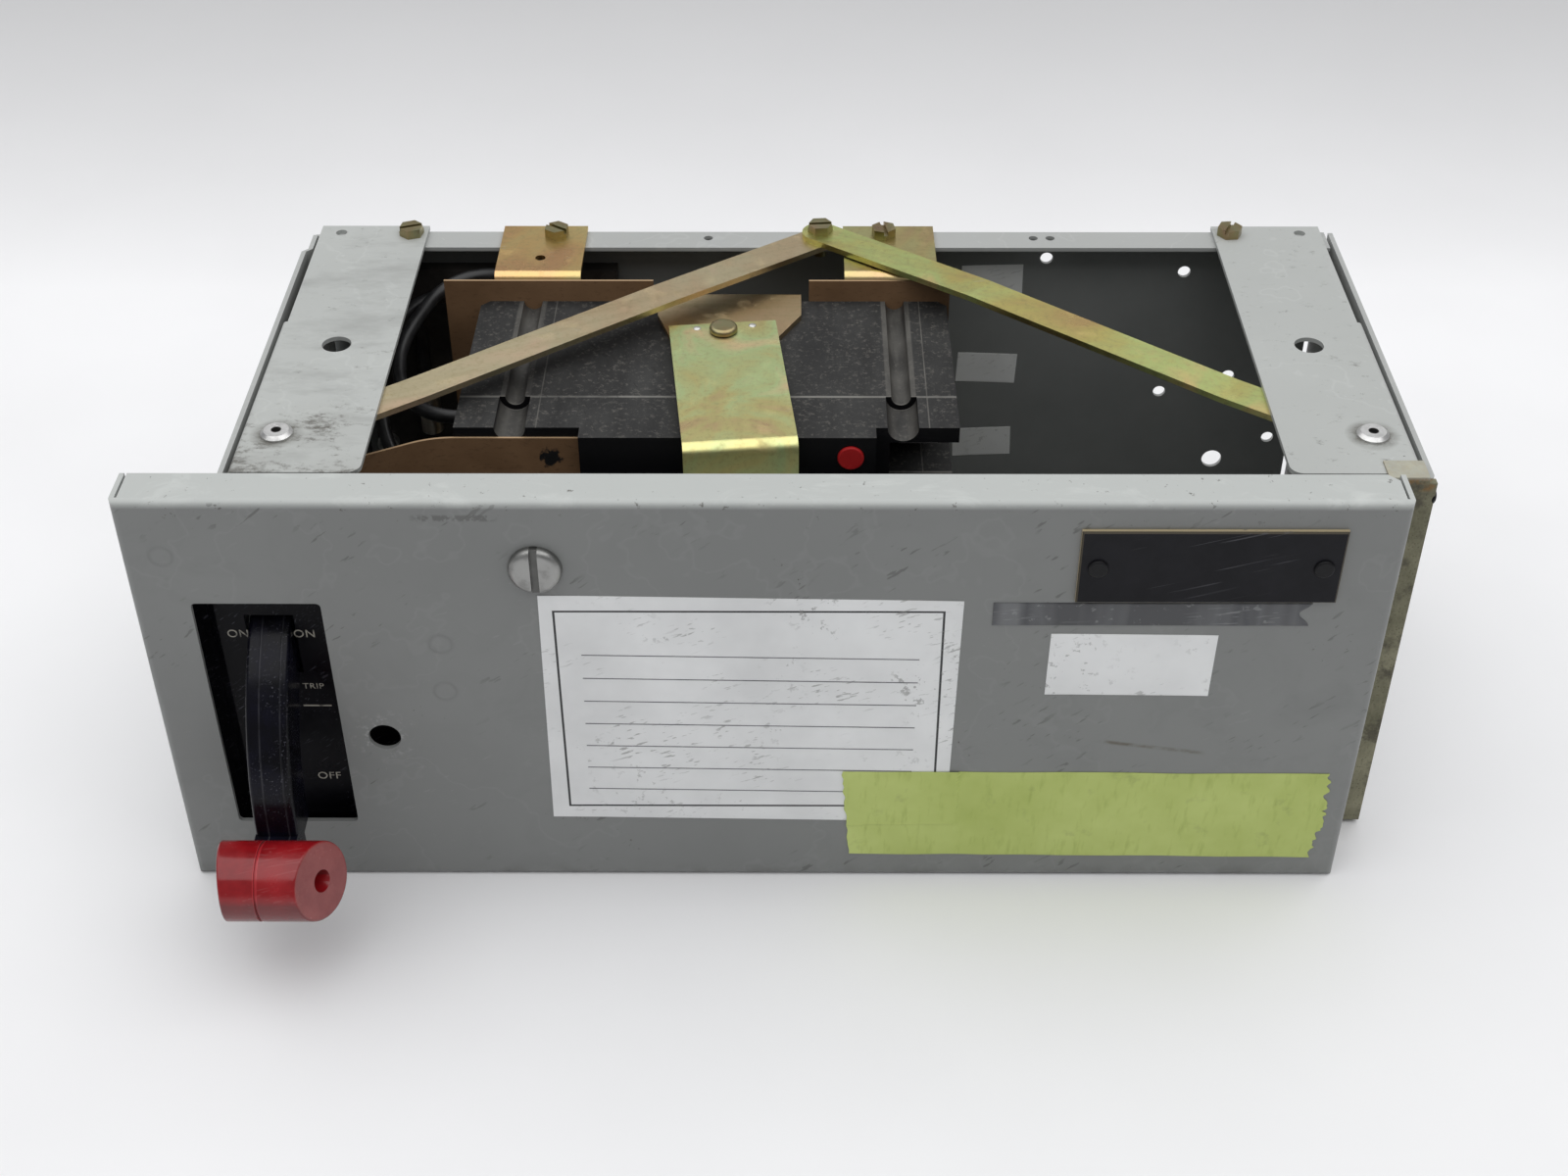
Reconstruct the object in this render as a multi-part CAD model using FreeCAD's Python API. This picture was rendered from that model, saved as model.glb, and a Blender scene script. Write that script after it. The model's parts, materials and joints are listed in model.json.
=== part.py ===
import FreeCAD, Part
import math
import os

os.makedirs("parts", exist_ok=True)

# Plug-in feeder unit of a motor control centre, in millimetres.
# Origin: centre of the chassis floor's underside. +X right, +Y to the rear, +Z up.

# Chassis sheet metal
chassis_depth = 153.5
chassis_height = 140.5
sheet = 1.5
side_sheet = 1.6
bend_radius = 2.0
floor_flange = 12.0
rear_flange = 11.5
rear_end_gap = 1.3
left_plate_short = 4.0
side_joggle = 2.0
joggle_length = 12.0
right_plate_short = 2.0
handle_flange_width = 35.0
hinge_flange_width = 32.0

# Top straps, one each side
strap_inner_edge_in = 43.0
strap_outer_edge_in = 5.0
strap_lip_in = 3.3
strap_lip_length = 87.5
strap_lip_drop = 20.0
strap_front_gap = 0.5
strap_corner = 4.0
strap_mount_hole = 9.5
strap_mount_in = 23.7
strap_mount_from_front = 73.2
strap_rivet_in = 14.5
strap_rivet_from_front = 20.8
strap_screw_in = 37.5
strap_screw_from_rear = 6.0
strap_pilot_hole = 4.0
strap_pilot_in = 12.4
strap_pilot_from_rear = 5.0

# Holes of the rear panel: distance in from the right side, height, diameter
panel_holes = [
    (100.6, 130.0, 4.5),
    (50.6, 124.5, 4.5),
    (29.2, 80.4, 4.8),
    (54.1, 73.6, 4.5),
    (10.6, 53.0, 4.5),
    (30.6, 43.0, 7.5),
]
flange_holes_from_left = [142.4, 257.4, 263.4]
flange_hole = 3.2

# Rivets of the side plates: distance behind the front plane, height
side_rivet_places = [
    (12.0, 129.0),
    (73.0, 129.0),
]
side_rivet_shank = 4.0
side_rivet_head = 7.0
side_rivet_head_height = 1.2

# Brace bars and their fasteners
brace_width = 12.7
brace_thick = 2.0
brace_meet_from_left = 182.0
brace_from_rear = 8.5
brace_front_flat = 48.0
brace_rear_flat = 66.0
brace_end_share = 0.98
hex_across = 7.6
hex_height = 3.2
hex_slot = 1.4
hex_crown_share = 0.72
hex_slot_floor_share = 0.55
left_strap_slot_turn = 20.0
right_strap_slot_turn = 65.0
left_bracket_slot_turn = -35.0
right_bracket_slot_turn = 100.0
brace_slot_turn = 5.0
screw_shank = 4.6
screw_length = 9.0
rivet_head = 9.8
rivet_head_height = 1.7
rivet_head_chamfer = 1.02
rivet_shank = 4.6
rivet_core = 3.0
rivet_tail = 6.6

# Breaker and its brackets
breaker_length = 160.3
breaker_height = 105.0
breaker_depth = 84.2
breaker_from_left = 145.05
breaker_bottom = 27.0
cover_depth = 23.7
cover_end_step = 5.7
cover_mid_left = 40.0
cover_mid_right = 26.5
pole_pitch = 35.0
mount_channel_half = 62.3
mount_channel_base = 6.4
mount_channel_cover = 10.0
mount_screw = 4.8
mount_screw_head = 9.0
mount_screw_head_height = 3.2
mount_screw_tip = 3.0
breaker_chamfer = 3.0
lug_pocket_width = 24.0
lug_pocket_length = 22.0
lug_pocket_depth = 20.0
lug_size = 13.0
lug_height = 11.0
lug_screw = 7.0
lug_bore = 5.4
bracket_standoff = 34.7
bracket_sheet = 1.5
bracket_foot = 20.0
bracket_bend = 3.0
left_bracket_from_left = 84.6
left_bracket_width = 29.6
left_bracket_screw_from_left = 88.9
right_bracket_from_left = 206.1
right_bracket_width = 32.0
right_bracket_screw_from_left = 204.4
bracket_screw_from_rear = 6.5
bracket_pilot = 3.6
bracket_pilot_from_rear = 23.0
insulator_sheet = 0.8
insulator_rise = 8.0
insulator_bottom = 40.0
front_insulator_bottom = 84.0
front_insulator_drop = 3.5
front_insulator_turn = 27.0
front_insulator_bend = 30.0
front_insulator_reach = 26.0
rear_left_insulator_from_left = 52.4
rear_left_insulator_width = 72.0
rear_right_insulator_from_left = 177.9
rear_right_insulator_width = 48.5

# Yoke, toggle and push-to-trip button
yoke_offset = 4.15
yoke_pivot_from_rear = 62.4
yoke_width = 36.0
yoke_sheet = 2.0
yoke_reach = 68.6
yoke_tail = 5.2
yoke_rest_angle = 6.0
yoke_lift = 0.4
yoke_pin = 6.0
yoke_pin_head = 9.4
yoke_pin_head_height = 1.9
yoke_pin_round = 1.3
yoke_web_bottom = 56.0
drive_arm_height = 18.0
drive_arm_reach = 110.8
drive_slot = 6.4
drive_slot_length = 12.0
drive_slot_ahead = 5.4
drive_tab_end = 8.0
running_clearance = 0.05
swing_clearance = 0.3
toggle_width = 10.0
toggle_height = 14.0
toggle_hub = 17.2
toggle_hub_depth = 18.7
toggle_reach = 13.6
toggle_rest_angle = 13.0
toggle_window_clearance = 1.6
button_diameter = 8.4
button_length = 10.0
button_proud = 1.0
button_travel = 2.0
button_clearance = 0.1
button_offset = 45.65
button_from_top = 7.4
button_round = 0.6
pivot_plate_left = 22.8
pivot_plate_right = 26.0
pivot_plate_shoulder = 14.4
pivot_plate_nose = 12.0
pivot_plate_bend = 1.9

# Operating handle
lever_from_left = 13.9
lever_width = 13.0
lever_outer = 71.0
lever_depth = 15.0
lever_low_angle = -2.0
lever_high_angle = 72.0
lever_hub = 22.0
lever_spoke_width = 15.0
neck_width = 11.0
pivot_from_front = 17.5
pivot_height = 40.0
shaft_diameter = 8.0
grip_diameter = 24.5
grip_left_reach = 14.5
grip_right_reach = 15.6
grip_radius = 84.0
grip_angle = -1.8
grip_left_slant = 8.0
grip_right_slant = 20.0
grip_right_lift = 14.0
grip_edge_round = 0.8
grip_socket = 7.0
grip_socket_depth = 7.0
grip_groove = 0.9
grip_groove_shift = 2.4
crank_radius = 28.5
crank_angle = 66.0
crank_pin = 5.0
crank_reach = 30.5
ear_sheet = 2.0
ear_gap = 3.6
ear_round = 14.0
spacer_diameter = 12.0
housing_width = 38.0
housing_bottom = 20.0
housing_top = 118.0
housing_depth = 19.5
housing_wall = 2.2
lever_slot_clearance = 1.0
housing_screw = 3.5
housing_screw_inset = 5.0
housing_screw_rise = 12.0
housing_bevel = 3.0
housing_flange_left = 9.0
housing_flange_right = 25.0
housing_flange_below = 11.0
housing_flange_above = 2.0
housing_flange_behind = 4.0
housing_flange_sheet = 2.0
housing_boss = 7.0
slot_margin = 1.5
lever_window_bottom = 26.0
lever_window_top = 117.0

# Door
door_width = 373.5
door_height = 151.0
door_depth = 14.6
door_gap = 12.9
door_overhang = 23.35
hinge_side_short = 13.85
door_corner_slit = 0.7
door_bend = 2.4
corner_notch = 3.0
cutout_left = 17.35
cutout_width = 38.5
cutout_bottom = 24.4
cutout_height = 89.7
cutout_corner = 1.5
lock_hole = 10.0
lock_hole_left = 68.75
lock_hole_height = 61.0
nameplate_width = 76.7
nameplate_height = 26.0
nameplate_thick = 1.6
nameplate_right = 17.85
nameplate_bottom = 116.0
nameplate_rivet_inset = 5.5
nameplate_rivet_head = 6.0
nameplate_rivet_shank = 3.0
nameplate_rivet_height = 1.0
nameplate_rivet_round = 0.7
nameplate_rivet_tail = 4.8

# Quarter-turn latch
latch_left = 120.55
latch_height = 127.5
latch_head = 16.0
latch_head_thick = 3.0
latch_head_round = 2.25
latch_slot = 2.4
latch_shank = 8.0
latch_pin = 3.0
latch_pin_length = 15.0
latch_pin_behind = 2.4
latch_washer = 14.0
latch_washer_thick = 1.2
latch_washer_gap = 0.2
crossbar_bottom = 112.0
crossbar_top = 138.0
crossbar_end_gap = 1.0
receptacle_width = 26.0
latch_clearance = 1.2

# Door hinges
hinge_axis_inset = 0.75
hinge_axis_ahead = 8.5
hinge_knuckle = 5.0
hinge_pin = 2.6
hinge_length = 30.0
hinge_end = 22.0
hinge_leaf = 1.5
hinge_leaf_width = 15.0

# Gasket on the hinge side
gasket_thick = 2.5
gasket_width = 14.6
gasket_fold = 6.0
gasket_fold_thick = 0.6
gasket_fold_in = 2.5

# Line side: stab block, fingers and leads
stab_pitch = 25.0
stab_from_left = 62.4
stab_opening_width = 78.0
stab_opening_bottom = 44.0
stab_opening_top = 124.0
stab_screw_pitch_x = 86.0
stab_screw_pitch_z = 54.0
stab_screw_shank = 4.0
stab_block_width = 94.0
stab_block_bottom = 36.0
stab_block_top = 128.0
stab_block_flange = 6.0
stab_nose_width = 74.0
stab_nose_bottom = 47.0
stab_nose_top = 93.0
stab_nose_reach = 11.0
stab_height = 70.0
finger_reach = 24.0
finger_thick = 1.6
finger_width = 14.0
finger_gap = 3.4
finger_pinch = 0.9
finger_flare = 2.0
terminal_rise = 16.0
barrel_diameter = 8.0
wire_diameter = 4.8
wire_straight = 14.0
wire_trim_share = 0.45
# Leads of the bottom, middle and top pole: height of the drop to the stab, and the bends before it,
# each as distance in from the left side, place front to rear, height
wire_drops = [112.0, 122.0, 129.0]
wire_bends = [
    [(28.0, 12.0, 54.0), (17.0, 34.0, 80.0), (21.0, 54.0, 110.0)],
    [(31.0, 14.0, 86.0), (25.0, 40.0, 106.0), (36.0, 57.0, 123.0)],
    [(38.0, 14.0, 114.0), (35.0, 40.0, 117.0), (52.0, 59.0, 132.0)],
]

# Working allowances: how far cutting shapes overshoot, and how near an edge is to count as picked
overcut = 1.0
near = 0.01

# Places worked out from the sizes above
front = -chassis_depth / 2
rear = chassis_depth / 2
half_width = (door_width - door_overhang + hinge_side_short) / 2
left_side = -half_width
strap_inner = half_width - strap_inner_edge_in
strap_outer = half_width - strap_outer_edge_in
strap_lip_outer = half_width - strap_lip_in
strap_mount_offset = half_width - strap_mount_in
strap_rivet_offset = half_width - strap_rivet_in
strap_screw_offset = half_width - strap_screw_in
strap_pilot_offset = half_width - strap_pilot_in
breaker_center = left_side + breaker_from_left
left_bracket_center = left_side + left_bracket_from_left
left_bracket_screw = left_side + left_bracket_screw_from_left
right_bracket_center = left_side + right_bracket_from_left
right_bracket_screw = left_side + right_bracket_screw_from_left
lever_center = left_side + lever_from_left
stab_center = left_side + stab_from_left
brace_meet_x = left_side + brace_meet_from_left
strap_top = chassis_height + sheet
panel_inner = rear - sheet
flange_front = panel_inner - rear_flange
door_back = front - door_gap
door_face = door_back - door_depth
door_left = left_side - door_overhang
door_right = half_width - hinge_side_short
bracket_face = rear - bracket_standoff
breaker_rear = bracket_face - insulator_sheet
breaker_front = breaker_rear - breaker_depth
breaker_left = breaker_center - breaker_length / 2
breaker_right = breaker_center + breaker_length / 2
breaker_top = breaker_bottom + breaker_height
breaker_mid = breaker_bottom + breaker_height / 2
cover_seam = breaker_front + cover_depth
pole_heights = [breaker_mid + pole_pitch * step for step in (-1, 0, 1)]
mount_heights = [breaker_mid + pole_pitch * step / 2 for step in (-1, 1)]
mount_places = [breaker_center + side * mount_channel_half for side in (-1, 1)]
yoke_x = breaker_center + yoke_offset
yoke_y = rear - yoke_pivot_from_rear
pivot_plate_top = breaker_top + yoke_sheet
yoke_bottom = pivot_plate_top + yoke_lift
yoke_top = yoke_bottom + yoke_sheet
pivot_y = front + pivot_from_front
lever_left = lever_center - lever_width / 2
lever_right = lever_center + lever_width / 2
lever_inner = lever_outer - lever_depth
ear_inner_left = lever_left - ear_gap
ear_inner_right = lever_right + ear_gap
housing_left = lever_center - housing_width / 2
housing_right = lever_center + housing_width / 2
housing_face = front - housing_depth
hinge_x = door_right - hinge_axis_inset
hinge_y = front - hinge_axis_ahead
latch_x = door_left + latch_left
strap_rivet_y = front + strap_rivet_from_front
brace_meet_y = rear - brace_from_rear
toggle_x = yoke_x
toggle_y = breaker_front + toggle_hub_depth
lug_axis_y = cover_seam + lug_pocket_depth - lug_height / 2
button_x = breaker_center + button_offset
button_z = breaker_top - button_from_top
housing_screws_at = [
    (lever_right + lever_slot_clearance + housing_screw_inset, height)
    for height in (housing_bottom + housing_screw_rise, housing_top - housing_screw_rise)
]
nameplate_left = door_right - nameplate_right - nameplate_width
nameplate_rivet_z = nameplate_bottom + nameplate_height / 2
nameplate_rivet_x = [
    nameplate_left + nameplate_rivet_inset,
    nameplate_left + nameplate_width - nameplate_rivet_inset,
]
receptacle_front = front + 2 * sheet
latch_pin_y = receptacle_front + sheet + latch_pin_behind
latch_tip = latch_pin_y + latch_pin
knuckle_split = hinge_length / 2
hinge_starts = [hinge_end, door_height - hinge_end - hinge_length]
door_leaf_face = door_right - sheet
chassis_web_right = hinge_x - hinge_knuckle / 2 + hinge_leaf / 3
stab_places = [stab_center + stab_pitch * step for step in (-1, 0, 1)]
stab_mid = (stab_block_bottom + stab_block_top) / 2
stab_screws = [
    (stab_center + side * stab_screw_pitch_x / 2, stab_mid + level * stab_screw_pitch_z / 2)
    for side in (-1, 1)
    for level in (-1, 1)
]
block_front = panel_inner - stab_block_flange
barrel_y = block_front - barrel_diameter / 2
barrel_top = stab_height + terminal_rise
finger_tip = rear + stab_nose_reach + finger_reach

X_AXIS = FreeCAD.Vector(1, 0, 0)
Y_AXIS = FreeCAD.Vector(0, 1, 0)
Z_AXIS = FreeCAD.Vector(0, 0, 1)


def point(x, y, z):
    return FreeCAD.Vector(x, y, z)


def block(x0, x1, y0, y1, z0, z1):
    return Part.makeBox(x1 - x0, y1 - y0, z1 - z0, point(x0, y0, z0))


def rod_x(x0, x1, y, z, diameter):
    return Part.makeCylinder(diameter / 2, x1 - x0, point(x0, y, z), X_AXIS)


def rod_y(x, y0, y1, z, diameter):
    return Part.makeCylinder(diameter / 2, y1 - y0, point(x, y0, z), Y_AXIS)


def rod_z(x, y, z0, z1, diameter):
    return Part.makeCylinder(diameter / 2, z1 - z0, point(x, y, z0), Z_AXIS)


def prism(corners, direction):
    outline = Part.makePolygon(corners + [corners[0]])
    return Part.Face(outline).extrude(direction)


def rounded(shape, radius, picks):
    edges = [edge for edge in shape.Edges if picks(edge)]
    return shape.makeFillet(radius, edges)


def runs_along(edge, axis):
    return abs(edge.tangentAt(edge.FirstParameter).cross(axis).Length) < near


def mirrored(shape):
    return shape.mirror(point(0, 0, 0), X_AXIS)


def joined(shapes):
    return shapes[0].fuse(shapes[1:]).removeSplitter()


def cut_all(shape, tools):
    return shape.cut(tools)


def turned(shape, x, y, degrees):
    copy = shape.copy()
    copy.rotate(point(x, y, 0), Z_AXIS, degrees)
    return copy


def save(name, solids):
    shape = solids if not isinstance(solids, list) else Part.makeCompound(solids)
    shape.exportStep(os.path.join("parts", name + ".step"))


# Chassis floor, rear panel and side plates
def bottom_pan():
    return block(-half_width, half_width, front, rear, 0, sheet)


def rear_panel():
    right = half_width - side_sheet - rear_end_gap
    left = side_joggle - right
    web = block(left, right, panel_inner, rear, sheet, chassis_height)
    top = block(left, right, flange_front, rear, chassis_height - sheet, chassis_height)
    foot = block(left, right, flange_front, rear, sheet, 2 * sheet)
    panel = joined([web, top, foot])

    def outer_bend(edge):
        middle = edge.CenterOfMass
        return runs_along(edge, X_AXIS) and middle.y > rear - near

    panel = rounded(panel, bend_radius, outer_bend)
    low = sheet + bend_radius
    high = chassis_height - bend_radius
    edge_strip = block(left_side + side_joggle, left, panel_inner, rear, low, high)
    panel = joined([panel, edge_strip])
    start = panel_inner - overcut
    end = rear + overcut
    opening_left = stab_center - stab_opening_width / 2
    opening_right = stab_center + stab_opening_width / 2
    cuts = [block(opening_left, opening_right, start, end, stab_opening_bottom, stab_opening_top)]
    for inset, z, diameter in panel_holes:
        cuts.append(rod_y(half_width - inset, start, end, z, diameter))
    for x, z in stab_screws:
        cuts.append(rod_y(x, start, end, z, stab_screw_shank))
    low = chassis_height - sheet - overcut
    high = chassis_height + overcut
    strap_y = rear - strap_screw_from_rear
    bracket_y = rear - bracket_screw_from_rear
    for from_left in flange_holes_from_left:
        cuts.append(rod_z(left_side + from_left, strap_y, low, high, flange_hole))
    top_screws = [
        (-strap_screw_offset, strap_y),
        (strap_screw_offset, strap_y),
        (brace_meet_x, brace_meet_y),
        (left_bracket_screw, bracket_y),
        (right_bracket_screw, bracket_y),
    ]
    for x, y in top_screws:
        cuts.append(rod_z(x, y, low, high, screw_shank))
    return cut_all(panel, cuts)


def side_wall_cuts(side):
    cuts = []
    for behind, height in side_rivet_places:
        start = side * half_width
        hole = rod_x(min(start, 0), max(start, 0), front + behind, height, side_rivet_shank)
        cuts.append(hole)
    return cuts


def front_flange_cuts():
    end = front + sheet + overcut
    return [rod_y(x, front - overcut, end, z, housing_screw) for x, z in housing_screws_at]


def left_side_plate():
    end = rear - left_plate_short
    bend = end - joggle_length
    outside = [
        point(-half_width, front, sheet),
        point(-half_width, bend, sheet),
        point(-half_width + side_joggle, bend + side_joggle, sheet),
        point(-half_width + side_joggle, end, sheet),
        point(-half_width + side_joggle + side_sheet, end, sheet),
        point(-half_width + side_joggle + side_sheet, bend + side_joggle, sheet),
        point(-half_width + side_sheet, bend, sheet),
        point(-half_width + side_sheet, front + sheet, sheet),
        point(-half_width + handle_flange_width, front + sheet, sheet),
        point(-half_width + handle_flange_width, front, sheet),
    ]
    wall = prism(outside, point(0, 0, chassis_height - sheet))
    foot = block(-half_width, -half_width + floor_flange, front, bend, sheet, 2 * sheet)
    plate = joined([wall, foot])
    window = block(
        lever_left - lever_slot_clearance - sheet,
        lever_right + lever_slot_clearance + sheet,
        front - overcut,
        front + sheet + overcut,
        lever_window_bottom,
        lever_window_top,
    )
    return cut_all(plate, [window] + side_wall_cuts(-1) + front_flange_cuts())


def right_side_plate():
    end = rear - right_plate_short
    wall = block(half_width - side_sheet, half_width, front, end, sheet, chassis_height)
    lip = block(half_width - hinge_flange_width, half_width, front, front + sheet, sheet, chassis_height)
    foot_end = flange_front - rear_end_gap
    foot = block(half_width - floor_flange, half_width, front, foot_end, sheet, 2 * sheet)
    plate = joined([wall, lip, foot])

    def front_bend(edge):
        middle = edge.CenterOfMass
        return runs_along(edge, Z_AXIS) and middle.x > half_width - near and middle.y < front + near

    return cut_all(rounded(plate, bend_radius, front_bend), side_wall_cuts(1))


def top_strap():
    start = front + strap_front_gap
    step = front + strap_lip_length
    top = block(strap_inner, strap_outer, start, rear, chassis_height, strap_top)
    wide = block(strap_inner, strap_lip_outer, start, step, chassis_height, strap_top)
    lip_bottom = strap_top - strap_lip_drop
    lip = block(strap_lip_outer - sheet, strap_lip_outer, start + bend_radius, step, lip_bottom, strap_top)
    strap = joined([top, wide, lip])

    def inner_front_corner(edge):
        middle = edge.CenterOfMass
        return runs_along(edge, Z_AXIS) and middle.x < strap_inner + near and middle.y < start + near

    def lip_bend(edge):
        middle = edge.CenterOfMass
        return runs_along(edge, Y_AXIS) and middle.x > strap_lip_outer - near and middle.z > strap_top - near

    strap = rounded(strap, strap_corner, inner_front_corner)
    strap = rounded(strap, sheet, lip_bend)
    holes = [
        (strap_mount_offset, front + strap_mount_from_front, strap_mount_hole),
        (strap_rivet_offset, strap_rivet_y, rivet_shank),
        (strap_screw_offset, rear - strap_screw_from_rear, screw_shank),
        (strap_pilot_offset, rear - strap_pilot_from_rear, strap_pilot_hole),
    ]
    cuts = [rod_z(x, y, chassis_height - overcut, strap_top + overcut, diameter) for x, y, diameter in holes]
    for behind, height in side_rivet_places:
        cuts.append(rod_x(strap_inner, half_width, front + behind, height, side_rivet_shank))
    return cut_all(strap, cuts)


def side_rivets():
    rivets = []
    for behind, height in side_rivet_places:
        y = front + behind
        inner = strap_lip_outer - sheet
        shank = rod_x(inner - side_rivet_head_height, half_width, y, height, side_rivet_shank)
        spacer = rod_x(strap_lip_outer, half_width - side_sheet, y, height, side_rivet_head)
        tail = rod_x(inner - side_rivet_head_height, inner, y, height, side_rivet_head)
        head = rod_x(half_width, half_width + side_rivet_head_height, y, height, side_rivet_head)
        rivet = joined([shank, spacer, tail, head])
        rivets += [rivet, mirrored(rivet)]
    return rivets


def front_crossbar():
    left = -half_width + handle_flange_width
    right = half_width - hinge_flange_width
    start = front + sheet
    bar_left = left - floor_flange
    bar_right = right + floor_flange
    bar = block(bar_left, bar_right, start, start + sheet, crossbar_bottom, crossbar_top)
    stiffener = block(
        left + crossbar_end_gap,
        right - crossbar_end_gap,
        start,
        start + floor_flange,
        crossbar_bottom,
        crossbar_bottom + sheet,
    )
    window = rod_y(latch_x, front, front + 3 * sheet, latch_height, latch_pin_length + 2 * latch_clearance)
    return joined([bar, stiffener]).cut(window)


save("bottom_pan", bottom_pan())
save("rear_panel", rear_panel())
save("left_side_plate", left_side_plate())
save("right_side_plate", right_side_plate())
save("right_top_strap", top_strap())
save("left_top_strap", mirrored(top_strap()))
save("side_rivets", side_rivets())
save("front_crossbar", front_crossbar())


# Brace bars, screws and pop rivets on the top
def brace_bar(level, run_x):
    run_y = brace_meet_y - strap_rivet_y
    length = math.hypot(run_x, run_y)
    low = chassis_height - brace_thick
    high = chassis_height + level * brace_thick
    end = brace_width / 2
    half = brace_width / 2
    slope_start = brace_front_flat
    slope_end = length - brace_rear_flat
    profile = [
        point(-end, -half, low),
        point(slope_start, -half, low),
        point(slope_end, -half, high),
        point(length + end, -half, high),
        point(length + end, -half, high + brace_thick),
        point(slope_end, -half, high + brace_thick),
        point(slope_start, -half, low + brace_thick),
        point(-end, -half, low + brace_thick),
    ]
    bar = prism(profile, point(0, brace_width, 0))

    def end_corners(edge):
        middle = edge.CenterOfMass
        return runs_along(edge, Z_AXIS) and (middle.x < 0 or middle.x > length)

    bar = rounded(bar, end * brace_end_share, end_corners)
    holes = [
        rod_z(0, 0, low - overcut, low + brace_thick + overcut, rivet_shank),
        rod_z(length, 0, high - overcut, high + brace_thick + overcut, screw_shank),
    ]
    bar = cut_all(bar, holes)
    bar.rotate(point(0, 0, 0), Z_AXIS, math.degrees(math.atan2(run_y, -run_x)))
    bar.translate(point(strap_rivet_offset, strap_rivet_y, 0))
    return bar


def hex_screw(x, y, seat, slot_angle):
    corner = hex_across / math.sqrt(3)
    corners = []
    for step in range(6):
        angle = math.radians(60 * step)
        corners.append(point(corner * math.cos(angle), corner * math.sin(angle), 0))
    head = prism(corners, point(0, 0, hex_height))
    crown_height = hex_height + corner * (1 - hex_crown_share)
    crown = Part.makeCone(corner + hex_height, corner * hex_crown_share, crown_height)
    head = head.common(crown)
    slot_floor = hex_height * hex_slot_floor_share
    slot = block(-corner, corner, -hex_slot / 2, hex_slot / 2, slot_floor, hex_height + overcut)
    shank = rod_z(0, 0, -screw_length, 0, screw_shank)
    screw = joined([head.cut(slot), shank])
    screw.rotate(point(0, 0, 0), Z_AXIS, slot_angle)
    screw.translate(point(x, y, seat))
    return screw


def top_hex_screws():
    strap_y = rear - strap_screw_from_rear
    bracket_y = rear - bracket_screw_from_rear
    bracket_top = chassis_height + bracket_sheet
    brace_top = chassis_height + 2 * brace_thick
    return [
        hex_screw(-strap_screw_offset, strap_y, strap_top, left_strap_slot_turn),
        hex_screw(strap_screw_offset, strap_y, strap_top, right_strap_slot_turn),
        hex_screw(left_bracket_screw, bracket_y, bracket_top, left_bracket_slot_turn),
        hex_screw(right_bracket_screw, bracket_y, bracket_top, right_bracket_slot_turn),
        hex_screw(brace_meet_x, brace_meet_y, brace_top, brace_slot_turn),
    ]


def pop_rivet(x):
    bottom = chassis_height - brace_thick
    tail_depth = rivet_tail / 3
    head = rod_z(x, strap_rivet_y, strap_top, strap_top + rivet_head_height, rivet_head)

    def top_rim(edge):
        return edge.CenterOfMass.z > strap_top + rivet_head_height - near

    head = head.makeChamfer(rivet_head_chamfer, [edge for edge in head.Edges if top_rim(edge)])
    shank = rod_z(x, strap_rivet_y, bottom, strap_top, rivet_shank)
    tail = rod_z(x, strap_rivet_y, bottom - tail_depth, bottom, rivet_tail)
    core = rod_z(x, strap_rivet_y, strap_top, strap_top + rivet_head_height + overcut, rivet_core)
    return joined([head, shank, tail]).cut(core)


save("left_brace_bar", mirrored(brace_bar(0, strap_rivet_offset + brace_meet_x)))
save("right_brace_bar", brace_bar(1, strap_rivet_offset - brace_meet_x))
save("top_hex_screws", top_hex_screws())
save("strap_pop_rivets", [pop_rivet(-strap_rivet_offset), pop_rivet(strap_rivet_offset)])


# Breaker brackets and fibre insulators
def breaker_bracket(center, width, screw_x):
    left = center - width / 2
    right = center + width / 2
    top = block(left, right, bracket_face, rear, chassis_height, chassis_height + bracket_sheet)
    web_back = bracket_face + bracket_sheet
    web = block(left, right, bracket_face, web_back, sheet, chassis_height + bracket_sheet)
    foot = block(left, right, bracket_face, bracket_face + bracket_foot, sheet, sheet + bracket_sheet)
    bracket = joined([top, web, foot])

    def front_bends(edge):
        return runs_along(edge, X_AXIS) and edge.CenterOfMass.y < bracket_face + near

    bracket = rounded(bracket, bracket_bend, front_bends)
    screw_y = rear - bracket_screw_from_rear
    cuts = [rod_z(screw_x, screw_y, chassis_height - overcut, strap_top + overcut, screw_shank)]
    for x in mount_places:
        for z in mount_heights:
            cuts.append(rod_y(x, bracket_face - overcut, web_back + overcut, z, mount_screw))
    return cut_all(bracket, cuts)


def left_breaker_bracket():
    bracket = breaker_bracket(left_bracket_center, left_bracket_width, left_bracket_screw)
    pilot_y = rear - bracket_pilot_from_rear
    low = chassis_height - overcut
    return bracket.cut(rod_z(left_bracket_center, pilot_y, low, strap_top + overcut, bracket_pilot))


def right_breaker_bracket():
    return breaker_bracket(right_bracket_center, right_bracket_width, right_bracket_screw)


def rear_insulator(from_left, width):
    low = left_side + from_left
    top = breaker_top + insulator_rise
    sheet_piece = block(low, low + width, breaker_rear, bracket_face, insulator_bottom, top)
    cuts = []
    for x in mount_places:
        for z in mount_heights:
            cuts.append(rod_y(x, breaker_rear - overcut, bracket_face + overcut, z, mount_screw))
    return cut_all(sheet_piece, cuts)


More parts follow.
